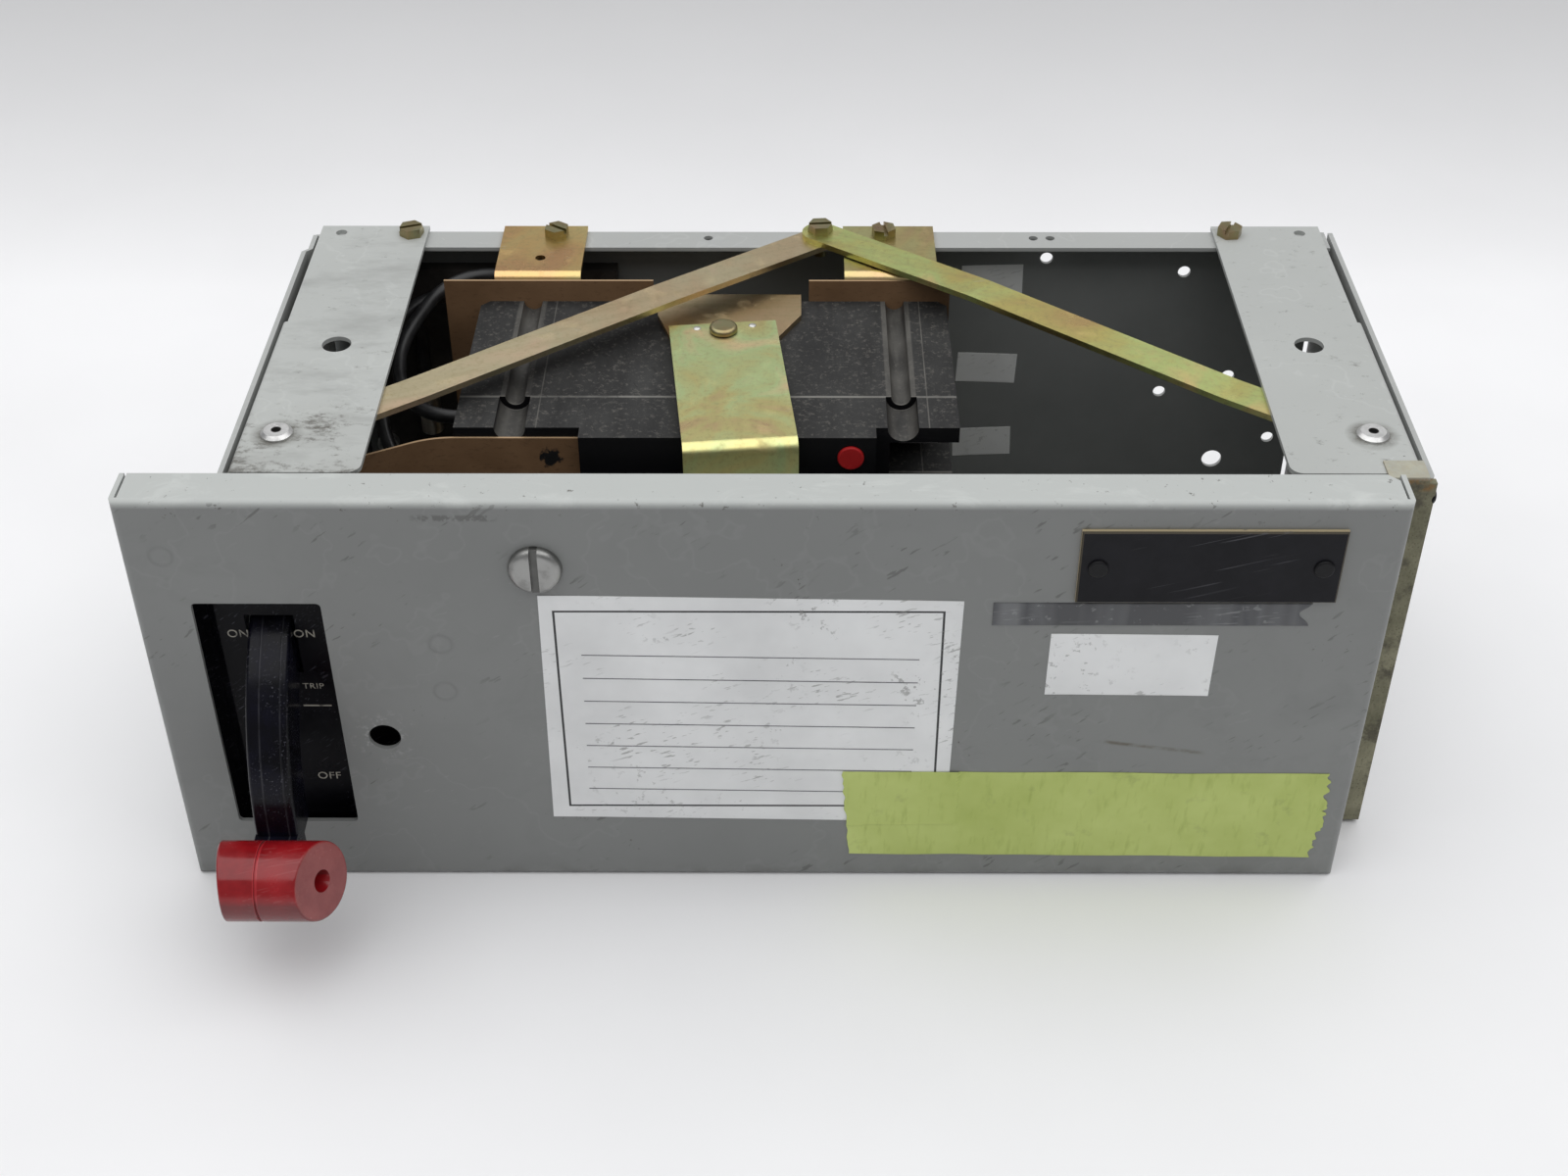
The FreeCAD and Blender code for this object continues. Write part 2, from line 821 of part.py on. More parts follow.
def front_left_insulator():
    step = breaker_left + cover_mid_left
    face = breaker_front + cover_end_step
    turn = math.radians(front_insulator_turn)
    half = turn / 2
    bend_start = point(breaker_left, face, front_insulator_bottom)
    bend_middle = bend_start + point(
        -front_insulator_bend * math.sin(half), -front_insulator_bend * (1 - math.cos(half)), 0
    )
    bend_end = bend_start + point(
        -front_insulator_bend * math.sin(turn), -front_insulator_bend * (1 - math.cos(turn)), 0
    )
    far_end = bend_end + point(
        -front_insulator_reach * math.cos(turn), -front_insulator_reach * math.sin(turn), 0
    )
    path = Part.Wire([
        Part.makeLine(point(step - swing_clearance, face, front_insulator_bottom), bend_start),
        Part.Arc(bend_start, bend_middle, bend_end).toShape(),
        Part.makeLine(bend_end, far_end),
    ])
    plan = path.makeOffset2D(-insulator_sheet, 0, True, True)
    return plan.extrude(point(0, 0, breaker_top - front_insulator_drop - front_insulator_bottom))


save("left_breaker_bracket", left_breaker_bracket())
save("right_breaker_bracket", right_breaker_bracket())
save("rear_left_insulator", rear_insulator(rear_left_insulator_from_left, rear_left_insulator_width))
save("rear_right_insulator", rear_insulator(rear_right_insulator_from_left, rear_right_insulator_width))
save("front_left_insulator", front_left_insulator())


# Moulded-case breaker
def pocket(end, side, height, y0, y1):
    inner = end - side * lug_pocket_length
    half = lug_pocket_width / 2
    return block(min(end, inner), max(end, inner), y0, y1, height - half, height + half)


def breaker_ends():
    return [(breaker_left, -1), (breaker_right, 1)]


def toggle_hub_pocket():
    half = toggle_height / 2 + swing_clearance
    return rod_z(toggle_x, toggle_y, breaker_mid - half, breaker_mid + half, toggle_hub + 2 * swing_clearance)


def button_bore():
    depth = button_length - button_proud + button_travel + button_clearance
    bore = button_diameter + 2 * button_clearance
    return rod_y(button_x, breaker_front - overcut, breaker_front + depth, button_z, bore)


def breaker_base():
    base = block(breaker_left, breaker_right, cover_seam, breaker_rear, breaker_bottom, breaker_top)

    def rear_corners(edge):
        return runs_along(edge, Z_AXIS) and edge.CenterOfMass.y > breaker_rear - near

    base = base.makeChamfer(breaker_chamfer, [edge for edge in base.Edges if rear_corners(edge)])
    cuts = [toggle_hub_pocket()]
    for x in mount_places:
        for z in (breaker_bottom, breaker_top):
            cuts.append(rod_y(x, cover_seam - overcut, breaker_rear + overcut, z, mount_channel_base))
        for z in mount_heights:
            cuts.append(rod_y(x, cover_seam - overcut, breaker_rear + overcut, z, mount_screw))
    for end, side in breaker_ends():
        for height in pole_heights:
            cuts.append(pocket(end, side, height, cover_seam - overcut, cover_seam + lug_pocket_depth))
    return cut_all(base, cuts)


def breaker_cover():
    end_face = breaker_front + cover_end_step
    body = block(breaker_left, breaker_right, end_face, cover_seam, breaker_bottom, breaker_top)
    middle = block(
        breaker_left + cover_mid_left,
        breaker_right - cover_mid_right,
        breaker_front,
        cover_seam,
        breaker_bottom,
        breaker_top,
    )
    cover = joined([body, middle])
    sweep = toggle_hub_depth * math.tan(math.radians(toggle_rest_angle))
    half_opening = sweep + toggle_width / 2 + toggle_window_clearance
    half_height = toggle_height / 2 + swing_clearance
    opening = block(
        toggle_x - half_opening,
        toggle_x + half_opening,
        breaker_front - overcut,
        toggle_y,
        breaker_mid - half_height,
        breaker_mid + half_height,
    )
    cuts = [opening, toggle_hub_pocket(), button_bore()]
    for x in mount_places:
        for z in (breaker_bottom, breaker_top):
            cuts.append(rod_y(x, breaker_front - overcut, cover_seam + overcut, z, mount_channel_cover))
        for z in mount_heights:
            cuts.append(rod_y(x, breaker_front - overcut, cover_seam + overcut, z, mount_channel_cover))
    for end, side in breaker_ends():
        for height in pole_heights:
            cuts.append(pocket(end, side, height, breaker_front - overcut, cover_seam + overcut))
    return cut_all(cover, cuts)


def breaker_mounting_screws():
    screws = []
    tip = bracket_face + bracket_sheet + mount_screw_tip
    for x in mount_places:
        for z in mount_heights:
            head = rod_y(x, cover_seam - mount_screw_head_height, cover_seam, z, mount_screw_head)
            shank = rod_y(x, cover_seam, tip, z, mount_screw)
            screws.append(joined([head, shank]))
    return screws


def breaker_lugs(end, side):
    lugs = []
    floor = cover_seam + lug_pocket_depth
    near = end - side * (lug_pocket_length - lug_size) / 2
    far = near - side * lug_size
    for height in pole_heights:
        half = lug_size / 2
        low = min(near, far)
        body = block(low, low + lug_size, floor - lug_height, floor, height - half, height + half)
        screw = rod_y(low + half, floor - lug_height - 2 * sheet, floor - lug_height, height, lug_screw)
        bore = rod_x(low - overcut, low + lug_size + overcut, lug_axis_y, height, lug_bore)
        lugs.append(joined([body, screw]).cut(bore))
    return lugs


def breaker_toggle():
    half = toggle_height / 2
    hub = rod_z(toggle_x, toggle_y, breaker_mid - half, breaker_mid + half, toggle_hub)
    tip_y = breaker_front - toggle_reach
    tip_half = toggle_width / 2 - swing_clearance
    corners = [
        point(toggle_x - toggle_width / 2, toggle_y, breaker_mid - half),
        point(toggle_x + toggle_width / 2, toggle_y, breaker_mid - half),
        point(toggle_x + tip_half, tip_y, breaker_mid - half),
        point(toggle_x - tip_half, tip_y, breaker_mid - half),
    ]
    blade = prism(corners, point(0, 0, toggle_height))

    def tip_edges(edge):
        return runs_along(edge, Z_AXIS) and edge.CenterOfMass.y < tip_y + near

    blade = rounded(blade, toggle_width / 5, tip_edges)
    return turned(joined([hub, blade]), toggle_x, toggle_y, toggle_rest_angle)


def trip_button():
    start = breaker_front - button_proud
    button = rod_y(button_x, start, start + button_length, button_z, button_diameter)
    rim = [edge for edge in button.Edges if edge.CenterOfMass.y < start + near]
    return button.makeFillet(button_round, rim)


save("breaker_base", breaker_base())
save("breaker_cover", breaker_cover())
save("breaker_mounting_screws", breaker_mounting_screws())
save("line_lugs", breaker_lugs(breaker_left, -1))
save("load_lugs", breaker_lugs(breaker_right, 1))
save("breaker_toggle", breaker_toggle())
save("trip_button", trip_button())


# Yoke that works the breaker toggle, and the bracket that it pivots on
def yoke_pivot_bracket():
    left = yoke_x - pivot_plate_left
    right = yoke_x + pivot_plate_right
    back = bracket_face + yoke_sheet
    shoulder = yoke_y + pivot_plate_shoulder
    nose = yoke_y - pivot_plate_nose
    narrow = yoke_width / 2
    plan = [
        point(left, back, breaker_top),
        point(right, back, breaker_top),
        point(right, shoulder, breaker_top),
        point(yoke_x + narrow - 2 * yoke_sheet, nose + 2 * yoke_sheet, breaker_top),
        point(yoke_x + narrow - 2 * yoke_sheet, nose, breaker_top),
        point(yoke_x - narrow + 2 * yoke_sheet, nose, breaker_top),
        point(left, shoulder, breaker_top),
    ]
    plate = prism(plan, point(0, 0, yoke_sheet))
    web = block(left, right, bracket_face, back, sheet, pivot_plate_top)
    foot = block(left, right, bracket_face, bracket_face + bracket_foot, sheet, sheet + yoke_sheet)
    bracket = joined([plate, web, foot])

    def rear_bend(edge):
        middle = edge.CenterOfMass
        return runs_along(edge, X_AXIS) and middle.y > back - near and middle.z > pivot_plate_top - near

    bracket = rounded(bracket, pivot_plate_bend, rear_bend)
    return bracket.cut(rod_z(yoke_x, yoke_y, breaker_top - overcut, pivot_plate_top + overcut, yoke_pin))


def yoke_pivot_rivet():
    seat = yoke_top + yoke_lift
    shank = rod_z(yoke_x, yoke_y, breaker_top, seat, yoke_pin)
    head = rod_z(yoke_x, yoke_y, seat, seat + yoke_pin_head_height, yoke_pin_head)
    rim = [edge for edge in head.Edges if edge.CenterOfMass.z > seat + near and edge.isClosed()]
    head = head.makeFillet(yoke_pin_round, rim)
    collar = rod_z(yoke_x, yoke_y, pivot_plate_top, yoke_bottom, yoke_pin_head)
    return joined([shank, head, collar])


def breaker_yoke():
    half = yoke_width / 2
    web_front = yoke_y - yoke_reach
    web_back = web_front + yoke_sheet
    arm = block(yoke_x - half, yoke_x + half, web_front, yoke_y + yoke_tail, yoke_bottom, yoke_top)
    tab_left = yoke_x - drive_arm_reach - yoke_sheet / 2
    arm_top = yoke_web_bottom + drive_arm_height
    outline = [
        point(yoke_x + half, web_front, yoke_top),
        point(yoke_x + half, web_front, yoke_web_bottom),
        point(tab_left, web_front, yoke_web_bottom),
        point(tab_left, web_front, arm_top),
        point(yoke_x - half, web_front, arm_top),
        point(yoke_x - half, web_front, yoke_top),
    ]
    web = prism(outline, point(0, yoke_sheet, 0))
    slot_y = web_front - drive_slot_ahead
    tab = block(tab_left, tab_left + yoke_sheet, slot_y - drive_tab_end, web_back, yoke_web_bottom, arm_top)
    yoke = joined([arm, web, tab])

    def top_bend(edge):
        middle = edge.CenterOfMass
        return runs_along(edge, X_AXIS) and middle.y < web_front + near and middle.z > yoke_top - near

    yoke = rounded(yoke, 2 * yoke_sheet, top_bend)
    window_half = toggle_width / 2 + toggle_window_clearance
    window_height = toggle_height / 2 + toggle_window_clearance
    window = block(
        yoke_x - window_half,
        yoke_x + window_half,
        web_front - overcut,
        web_back + overcut,
        breaker_mid - window_height,
        breaker_mid + window_height,
    )
    crank_low = pivot_height + crank_radius * math.sin(math.radians(crank_angle))
    slot_middle = (crank_low + pivot_height + crank_radius) / 2
    slot = block(
        tab_left - overcut,
        tab_left + yoke_sheet + overcut,
        slot_y - drive_slot / 2,
        slot_y + drive_slot / 2,
        slot_middle - drive_slot_length / 2,
        slot_middle + drive_slot_length / 2,
    )
    bore = rod_z(yoke_x, yoke_y, yoke_bottom - overcut, yoke_top + overcut, yoke_pin + 2 * running_clearance)
    return turned(cut_all(yoke, [window, slot, bore]), yoke_x, yoke_y, yoke_rest_angle)


save("yoke_pivot_bracket", yoke_pivot_bracket())
save("yoke_pivot_rivet", yoke_pivot_rivet())
save("breaker_yoke", breaker_yoke())


# Operating handle, turning about a cross shaft at the chassis front
def lever_point(x, radius, degrees):
    angle = math.radians(degrees)
    return point(x, pivot_y - radius * math.cos(angle), pivot_height + radius * math.sin(angle))


def lever_arc(x, inner, outer, low, high):
    middle = (low + high) / 2
    outside = [lever_point(x, outer, angle) for angle in (low, middle, high)]
    inside = [lever_point(x, inner, angle) for angle in (high, middle, low)]
    rim = Part.Wire([
        Part.Arc(*outside).toShape(),
        Part.makeLine(outside[-1], inside[0]),
        Part.Arc(*inside).toShape(),
        Part.makeLine(inside[-1], outside[0]),
    ])
    return Part.Face(rim)


def lever_bar(inner, outer, width, degrees):
    start = pivot_y - outer
    low = pivot_height - width / 2
    bar = block(lever_left, lever_right, start, pivot_y - inner, low, low + width)
    bar.rotate(point(0, pivot_y, pivot_height), X_AXIS, -degrees)
    return bar


def handle_lever():
    arc = lever_arc(lever_left, lever_inner, lever_outer, lever_low_angle, lever_high_angle)
    arc = arc.extrude(point(lever_width, 0, 0))

    def outer_edges(edge):
        curve = edge.Curve
        return isinstance(curve, Part.Circle) and abs(curve.Radius - lever_outer) < near

    arc = rounded(arc, sheet, outer_edges)
    hub = rod_x(lever_left, lever_right, pivot_y, pivot_height, lever_hub)
    spoke = lever_bar(0, lever_inner + lever_depth / 2, lever_spoke_width, crank_angle)
    neck = lever_bar(lever_inner + lever_depth / 2, grip_radius, neck_width, grip_angle)
    crank = lever_point(lever_left, crank_radius, crank_angle)
    start = lever_left - overcut
    end = lever_right + overcut
    bores = [
        rod_x(start, end, pivot_y, pivot_height, shaft_diameter + 2 * running_clearance),
        rod_x(start, end, crank.y, crank.z, crank_pin),
    ]
    return cut_all(joined([arc, hub, spoke, neck]), bores)


def handle_grip():
    middle = lever_point(lever_center, grip_radius, grip_angle)
    left = middle.x - grip_left_reach
    right = middle.x + grip_right_reach
    barrel = rod_x(left - grip_diameter, right + grip_diameter, middle.y, middle.z, grip_diameter)
    near_y = middle.y - grip_diameter
    far_y = middle.y + grip_diameter
    low = middle.z - grip_diameter
    high = middle.z + grip_diameter
    left_cut = block(left - 2 * grip_diameter, left, near_y, far_y, low, high)
    left_cut.rotate(point(left, middle.y, middle.z), Z_AXIS, grip_left_slant)
    right_cut = block(right, right + 2 * grip_diameter, near_y, far_y, low, high)
    right_cut.rotate(point(right, middle.y, middle.z), Z_AXIS, -grip_right_slant)
    right_cut.rotate(point(right, middle.y, middle.z), Y_AXIS, -grip_right_lift)
    barrel = cut_all(barrel, [left_cut, right_cut])
    barrel = rounded(barrel, grip_edge_round, lambda edge: edge.isClosed())
    groove = middle.x - grip_groove_shift
    groove_end = groove + grip_groove
    ring = rod_x(groove, groove_end, middle.y, middle.z, grip_diameter + overcut)
    ring = ring.cut(rod_x(groove, groove_end, middle.y, middle.z, grip_diameter - 2 * grip_groove))
    socket = rod_x(right - grip_socket_depth, right + grip_diameter, middle.y, middle.z, grip_socket)
    neck = lever_bar(lever_inner + lever_depth / 2, grip_radius, neck_width, grip_angle)
    return cut_all(barrel, [ring, socket, neck])


def lever_crank_pin():
    crank = lever_point(lever_left, crank_radius, crank_angle)
    return rod_x(lever_left, lever_right + crank_reach, crank.y, crank.z, crank_pin)


def handle_bracket():
    left = ear_inner_left - ear_sheet
    right = ear_inner_right + ear_sheet
    low = 2 * sheet
    base = block(left, right, pivot_y - ear_round, pivot_y + ear_round, low, low + ear_sheet)
    ears = []
    for start in (left, ear_inner_right):
        upright = block(start, start + ear_sheet, pivot_y - ear_round, pivot_y + ear_round, low, pivot_height)
        crown = rod_x(start, start + ear_sheet, pivot_y, pivot_height, 2 * ear_round)
        ears += [upright, crown]
    shaft = rod_x(left - overcut, right + overcut, pivot_y, pivot_height, shaft_diameter)
    return joined([base] + ears).cut(shaft)


def handle_shaft():
    end = ear_inner_right + ear_sheet
    shaft = rod_x(ear_inner_left - ear_sheet, end + ear_sheet, pivot_y, pivot_height, shaft_diameter)
    clip = rod_x(end, end + ear_sheet, pivot_y, pivot_height, spacer_diameter)
    return joined([shaft, clip])


def shaft_spacers():
    spacers = []
    for start, end in ((ear_inner_left, lever_left), (lever_right, ear_inner_right)):
        tube_start = start + running_clearance
        tube = rod_x(tube_start, end - running_clearance, pivot_y, pivot_height, spacer_diameter)
        bore = rod_x(start, end, pivot_y, pivot_height, shaft_diameter + 2 * running_clearance)
        spacers.append(tube.cut(bore))
    return spacers


def slot_height(radius, ahead):
    return pivot_height + math.sqrt(radius * radius - ahead * ahead)


def handle_housing():
    body = block(housing_left, housing_right, housing_face, front, housing_bottom, housing_top)

    def left_face_edge(edge):
        middle = edge.CenterOfMass
        return runs_along(edge, Z_AXIS) and middle.x < housing_left + near and middle.y < housing_face + near

    body = body.makeChamfer(housing_bevel, [edge for edge in body.Edges if left_face_edge(edge)])
    flange_face = housing_face + housing_flange_behind
    flange = block(
        housing_left - housing_flange_left,
        housing_right + housing_flange_right,
        flange_face,
        flange_face + housing_flange_sheet,
        housing_bottom - housing_flange_below,
        housing_top + housing_flange_above,
    )
    body = joined([body, flange])
    hollow = block(
        housing_left + housing_wall,
        housing_right - housing_wall,
        housing_face + housing_wall,
        front + overcut,
        housing_bottom + housing_wall,
        housing_top - housing_wall,
    )
    face_ahead = pivot_from_front + housing_depth
    slot_low = slot_height(lever_inner, face_ahead) - slot_margin
    slot_high = slot_height(lever_outer, face_ahead - housing_wall) + slot_margin
    slot_half = lever_width / 2 + lever_slot_clearance
    slot = block(
        lever_center - slot_half, lever_center + slot_half, housing_face - overcut, front, slot_low, slot_high
    )
    shell = cut_all(body, [hollow, slot])
    bosses = [rod_y(x, housing_face + housing_wall, front, z, housing_boss) for x, z in housing_screws_at]
    pilot_start = front - housing_depth / 2
    pilots = [rod_y(x, pilot_start, front + overcut, z, housing_screw) for x, z in housing_screws_at]
    return cut_all(joined([shell] + bosses), pilots)


def housing_screws():
    screws = []
    for x, z in housing_screws_at:
        shank = rod_y(x, front - housing_depth / 2, front + sheet, z, housing_screw)
        head = rod_y(x, front + sheet, front + 2 * sheet, z, 2 * housing_screw)
        screws.append(joined([shank, head]))
    return screws


save("handle_lever", handle_lever())
save("handle_grip", handle_grip())
save("lever_crank_pin", lever_crank_pin())
save("handle_bracket", handle_bracket())
save("handle_shaft", handle_shaft())
save("shaft_spacers", shaft_spacers())
save("handle_housing", handle_housing())
save("housing_screws", housing_screws())


# Door pan with its nameplate and quarter-turn latch
def door_panel():
    outer = block(door_left, door_right, door_face, door_back, 0, door_height)
    inner = block(
        door_left + sheet,
        door_right - sheet,
        door_face + sheet,
        door_back + overcut,
        sheet,
        door_height - sheet,
    )

    def face_rim(edge):
        return edge.CenterOfMass.y < door_face + near

    def inner_rim(edge):
        return edge.CenterOfMass.y < door_face + sheet + near

    outer = rounded(outer, door_bend, face_rim)
    inner = rounded(inner, door_bend - sheet, inner_rim)
    pan = outer.cut(inner)
    before = door_face - overcut
    behind = door_face + sheet + overcut
    opening_left = door_left + cutout_left
    opening_right = opening_left + cutout_width
    cutout_top = cutout_bottom + cutout_height
    opening = block(opening_left, opening_right, before, behind, cutout_bottom, cutout_top)
    opening = rounded(opening, cutout_corner, lambda edge: runs_along(edge, Y_AXIS))
    latch_hole = latch_shank + 2 * running_clearance
    cuts = [
        opening,
        rod_y(door_left + lock_hole_left, before, behind, lock_hole_height, lock_hole),
        rod_y(latch_x, before, behind, latch_height, latch_hole),
    ]
    for x in nameplate_rivet_x:
        cuts.append(rod_y(x, before, behind, nameplate_rivet_z, nameplate_rivet_shank))
    slit_start = door_face + door_bend
    for low in (-overcut, door_height - sheet):
        high = low + sheet + overcut
        notch_x = door_right - sheet - door_corner_slit
        for slit_left in (notch_x, door_left + sheet):
            slit_right = slit_left + door_corner_slit
            cuts.append(block(slit_left, slit_right, slit_start, door_back + overcut, low, high))
        corner = [
            point(notch_x, door_back, low),
            point(notch_x - corner_notch, door_back, low),
            point(notch_x, door_back - corner_notch, low),
        ]
        cuts.append(prism(corner, point(0, 0, sheet + overcut)))
    return cut_all(pan, cuts)


def nameplate():
    plate = block(
        nameplate_left,
        nameplate_left + nameplate_width,
        door_face - nameplate_thick,
        door_face,
        nameplate_bottom,
        nameplate_bottom + nameplate_height,
    )
    rim = [edge for edge in plate.Edges if edge.CenterOfMass.y < door_face - nameplate_thick + near]
    plate = plate.makeChamfer(nameplate_thick / 3, rim)
    seat = door_face - nameplate_thick
    holes = [
        rod_y(x, seat - overcut, door_face + overcut, nameplate_rivet_z, nameplate_rivet_shank)
        for x in nameplate_rivet_x
    ]
    return cut_all(plate, holes)


def nameplate_rivets():
    rivets = []
    seat = door_face - nameplate_thick
    back = door_face + sheet
    for x in nameplate_rivet_x:
        head = rod_y(x, seat - nameplate_rivet_height, seat, nameplate_rivet_z, nameplate_rivet_head)
        rim = [edge for edge in head.Edges if edge.isClosed() and edge.CenterOfMass.y < seat - near]
        head = head.makeFillet(nameplate_rivet_round, rim)
        shank = rod_y(x, seat, back, nameplate_rivet_z, nameplate_rivet_shank)
        tail = rod_y(x, back, back + nameplate_rivet_height, nameplate_rivet_z, nameplate_rivet_tail)
        rivets.append(joined([head, shank, tail]))
    return rivets


def latch_stud():
    head = rod_y(latch_x, door_face - latch_head_thick, door_face, latch_height, latch_head)
    rim = [edge for edge in head.Edges if edge.isClosed() and edge.CenterOfMass.y < door_face - 1]
    head = head.makeFillet(latch_head_round, rim)
    slot = block(
        latch_x - latch_slot / 2,
        latch_x + latch_slot / 2,
        door_face - latch_head_thick - overcut,
        door_face - latch_head_thick / 2,
        latch_height - latch_head,
        latch_height + latch_head,
    )
    shank = rod_y(latch_x, door_face, latch_tip, latch_height, latch_shank)
    half = latch_pin_length / 2
    cross_hole = rod_z(latch_x, latch_pin_y, latch_height - half, latch_height + half, latch_pin)
    return joined([head.cut(slot), shank]).cut(cross_hole)


def latch_cross_pin():
    half = latch_pin_length / 2
    return rod_z(latch_x, latch_pin_y, latch_height - half, latch_height + half, latch_pin)


def latch_retainer():
    start = door_face + sheet + latch_washer_gap
    end = start + latch_washer_thick
    washer = rod_y(latch_x, start, end, latch_height, latch_washer)
    return washer.cut(rod_y(latch_x, start - overcut, end + overcut, latch_height, latch_shank))


def latch_receptacle():
    half = receptacle_width / 2
    back = receptacle_front + sheet
    low = crossbar_bottom + sheet
    plate = block(latch_x - half, latch_x + half, receptacle_front, back, low, crossbar_top)
    keyway = latch_pin / 2 + latch_clearance
    reach = latch_pin_length / 2 + latch_clearance
    top = min(latch_height + reach, crossbar_top - overcut)
    before = receptacle_front - overcut
    behind = back + overcut
    cuts = [
        rod_y(latch_x, before, behind, latch_height, latch_shank + 2 * latch_clearance),
        block(latch_x - keyway, latch_x + keyway, before, behind, latch_height - reach, top),
    ]
    return cut_all(plate, cuts)


save("door_panel", door_panel())
save("nameplate", nameplate())
save("nameplate_rivets", nameplate_rivets())
save("latch_stud", latch_stud())
save("latch_cross_pin", latch_cross_pin())
save("latch_retainer", latch_retainer())
save("latch_receptacle", latch_receptacle())


# Lift-off door hinges and the gasket beside them
def door_hinge_leaf(start):
    low = start + knuckle_split + swing_clearance
    high = start + hinge_length
    leaf_left = door_leaf_face - hinge_leaf
    clear = hinge_y - hinge_knuckle / 2 - swing_clearance
    plate = block(leaf_left, door_leaf_face, clear - 2 * hinge_knuckle, clear, start, high)
    tongue = block(leaf_left, door_leaf_face, clear, hinge_y, low, high)
    bore = rod_z(hinge_x, hinge_y, low - overcut, high + overcut, hinge_pin + 2 * running_clearance)
    ring = rod_z(hinge_x, hinge_y, low, high, hinge_knuckle)
    return joined([plate, tongue, ring]).cut(bore)


def chassis_hinge_leaf(start):
    high = start + knuckle_split
    web_left = chassis_web_right - hinge_leaf
    base_left = chassis_web_right - hinge_leaf_width
    base = block(base_left, chassis_web_right, front - hinge_leaf, front, start, start + hinge_length)
    web = block(web_left, chassis_web_right, hinge_y, front, start, high)
    ring = rod_z(hinge_x, hinge_y, start, high, hinge_knuckle)
    return joined([base, web, ring]).cut(rod_z(hinge_x, hinge_y, start - overcut, high + overcut, hinge_pin))


def hinge_pin_at(start):
    return rod_z(hinge_x, hinge_y, start, start + hinge_length - hinge_leaf, hinge_pin)


def side_gasket():
    left = half_width - gasket_width
    fold_right = half_width - gasket_fold_in
    fold_end = front + strap_front_gap + gasket_fold
    top = strap_top + gasket_fold_thick
    face = front - gasket_thick
    strip = block(left, half_width, face, front, sheet, chassis_height)
    rise = block(left, fold_right, face, front, chassis_height, top)
    fold = block(left, fold_right, face, fold_end, strap_top, top)
    return joined([strip, rise, fold])


save("door_hinge_leaves", [door_hinge_leaf(start) for start in hinge_starts])
save("chassis_hinge_leaves", [chassis_hinge_leaf(start) for start in hinge_starts])
save("hinge_pins", [hinge_pin_at(start) for start in hinge_starts])
save("side_gasket", side_gasket())


# Line stabs and the leads from the breaker to them
def stab_block():
    half = stab_block_width / 2
    nose_half = stab_nose_width / 2
    flange = block(
        stab_center - half, stab_center + half, block_front, panel_inner, stab_block_bottom, stab_block_top
    )
    nose = block(
        stab_center - nose_half,
        stab_center + nose_half,
        panel_inner,
        rear + stab_nose_reach,
        stab_nose_bottom,
        stab_nose_top,
    )
    body = joined([flange, nose])
    cuts = []
    for place in stab_places:
        for side in (-1, 1):
            inner = place + side * finger_gap / 2
            outer = inner + side * finger_thick
            low = stab_height - finger_width / 2
            cuts.append(
                block(
                    min(inner, outer),
                    max(inner, outer),
                    block_front - overcut,
                    rear + stab_nose_reach + overcut,
                    low,
                    low + finger_width,
                )
            )
    for x, z in stab_screws:
        cuts.append(rod_y(x, block_front - overcut, panel_inner + overcut, z, stab_screw_shank))
    return cut_all(body, cuts)


def stab_finger(place, side):
    inner = place + side * finger_gap / 2
    outer = inner + side * finger_thick
    low = stab_height - finger_width / 2
    straight_end = rear + stab_nose_reach
    pinch_y = finger_tip - 3 * finger_flare
    pinch = side * finger_pinch
    flare = side * finger_flare
    outline = [
        point(inner, block_front - overcut, low),
        point(inner, straight_end, low),
        point(inner - pinch, pinch_y, low),
        point(inner + flare, finger_tip, low),
        point(outer + flare, finger_tip, low),
        point(outer - pinch, pinch_y, low),
        point(outer, straight_end, low),
        point(outer, block_front - overcut, low),
    ]
    return prism(outline, point(0, 0, finger_width))


def stab_pair(place):
    low = stab_height - finger_width / 2
    barrel = rod_z(place, barrel_y, low, barrel_top, barrel_diameter)
    bore = rod_z(place, barrel_y, stab_height, barrel_top + overcut, wire_diameter)
    cheek = finger_gap / 2 + finger_thick
    pad = block(place - cheek, place + cheek, barrel_y, block_front, low, low + finger_width)
    return joined([barrel, pad, stab_finger(place, -1), stab_finger(place, 1)]).cut(bore)


def stab_mounting_screws():
    screws = []
    for x, z in stab_screws:
        head = rod_y(x, block_front - 2 * sheet, block_front, z, 2 * stab_screw_shank)
        shank = rod_y(x, block_front, rear + sheet, z, stab_screw_shank)
        screws.append(joined([head, shank]))
    return screws


def wire_route(pole):
    lug_middle = breaker_left + lug_pocket_length / 2
    height = pole_heights[pole]
    place = stab_places[pole]
    route = [point(lug_middle, lug_axis_y, height), point(breaker_left - wire_straight, lug_axis_y, height)]
    route += [point(left_side + inset, y, z) for inset, y, z in wire_bends[pole]]
    route.append(point(place, barrel_y, wire_drops[pole]))
    route.append(point(place, barrel_y, stab_height))
    return route


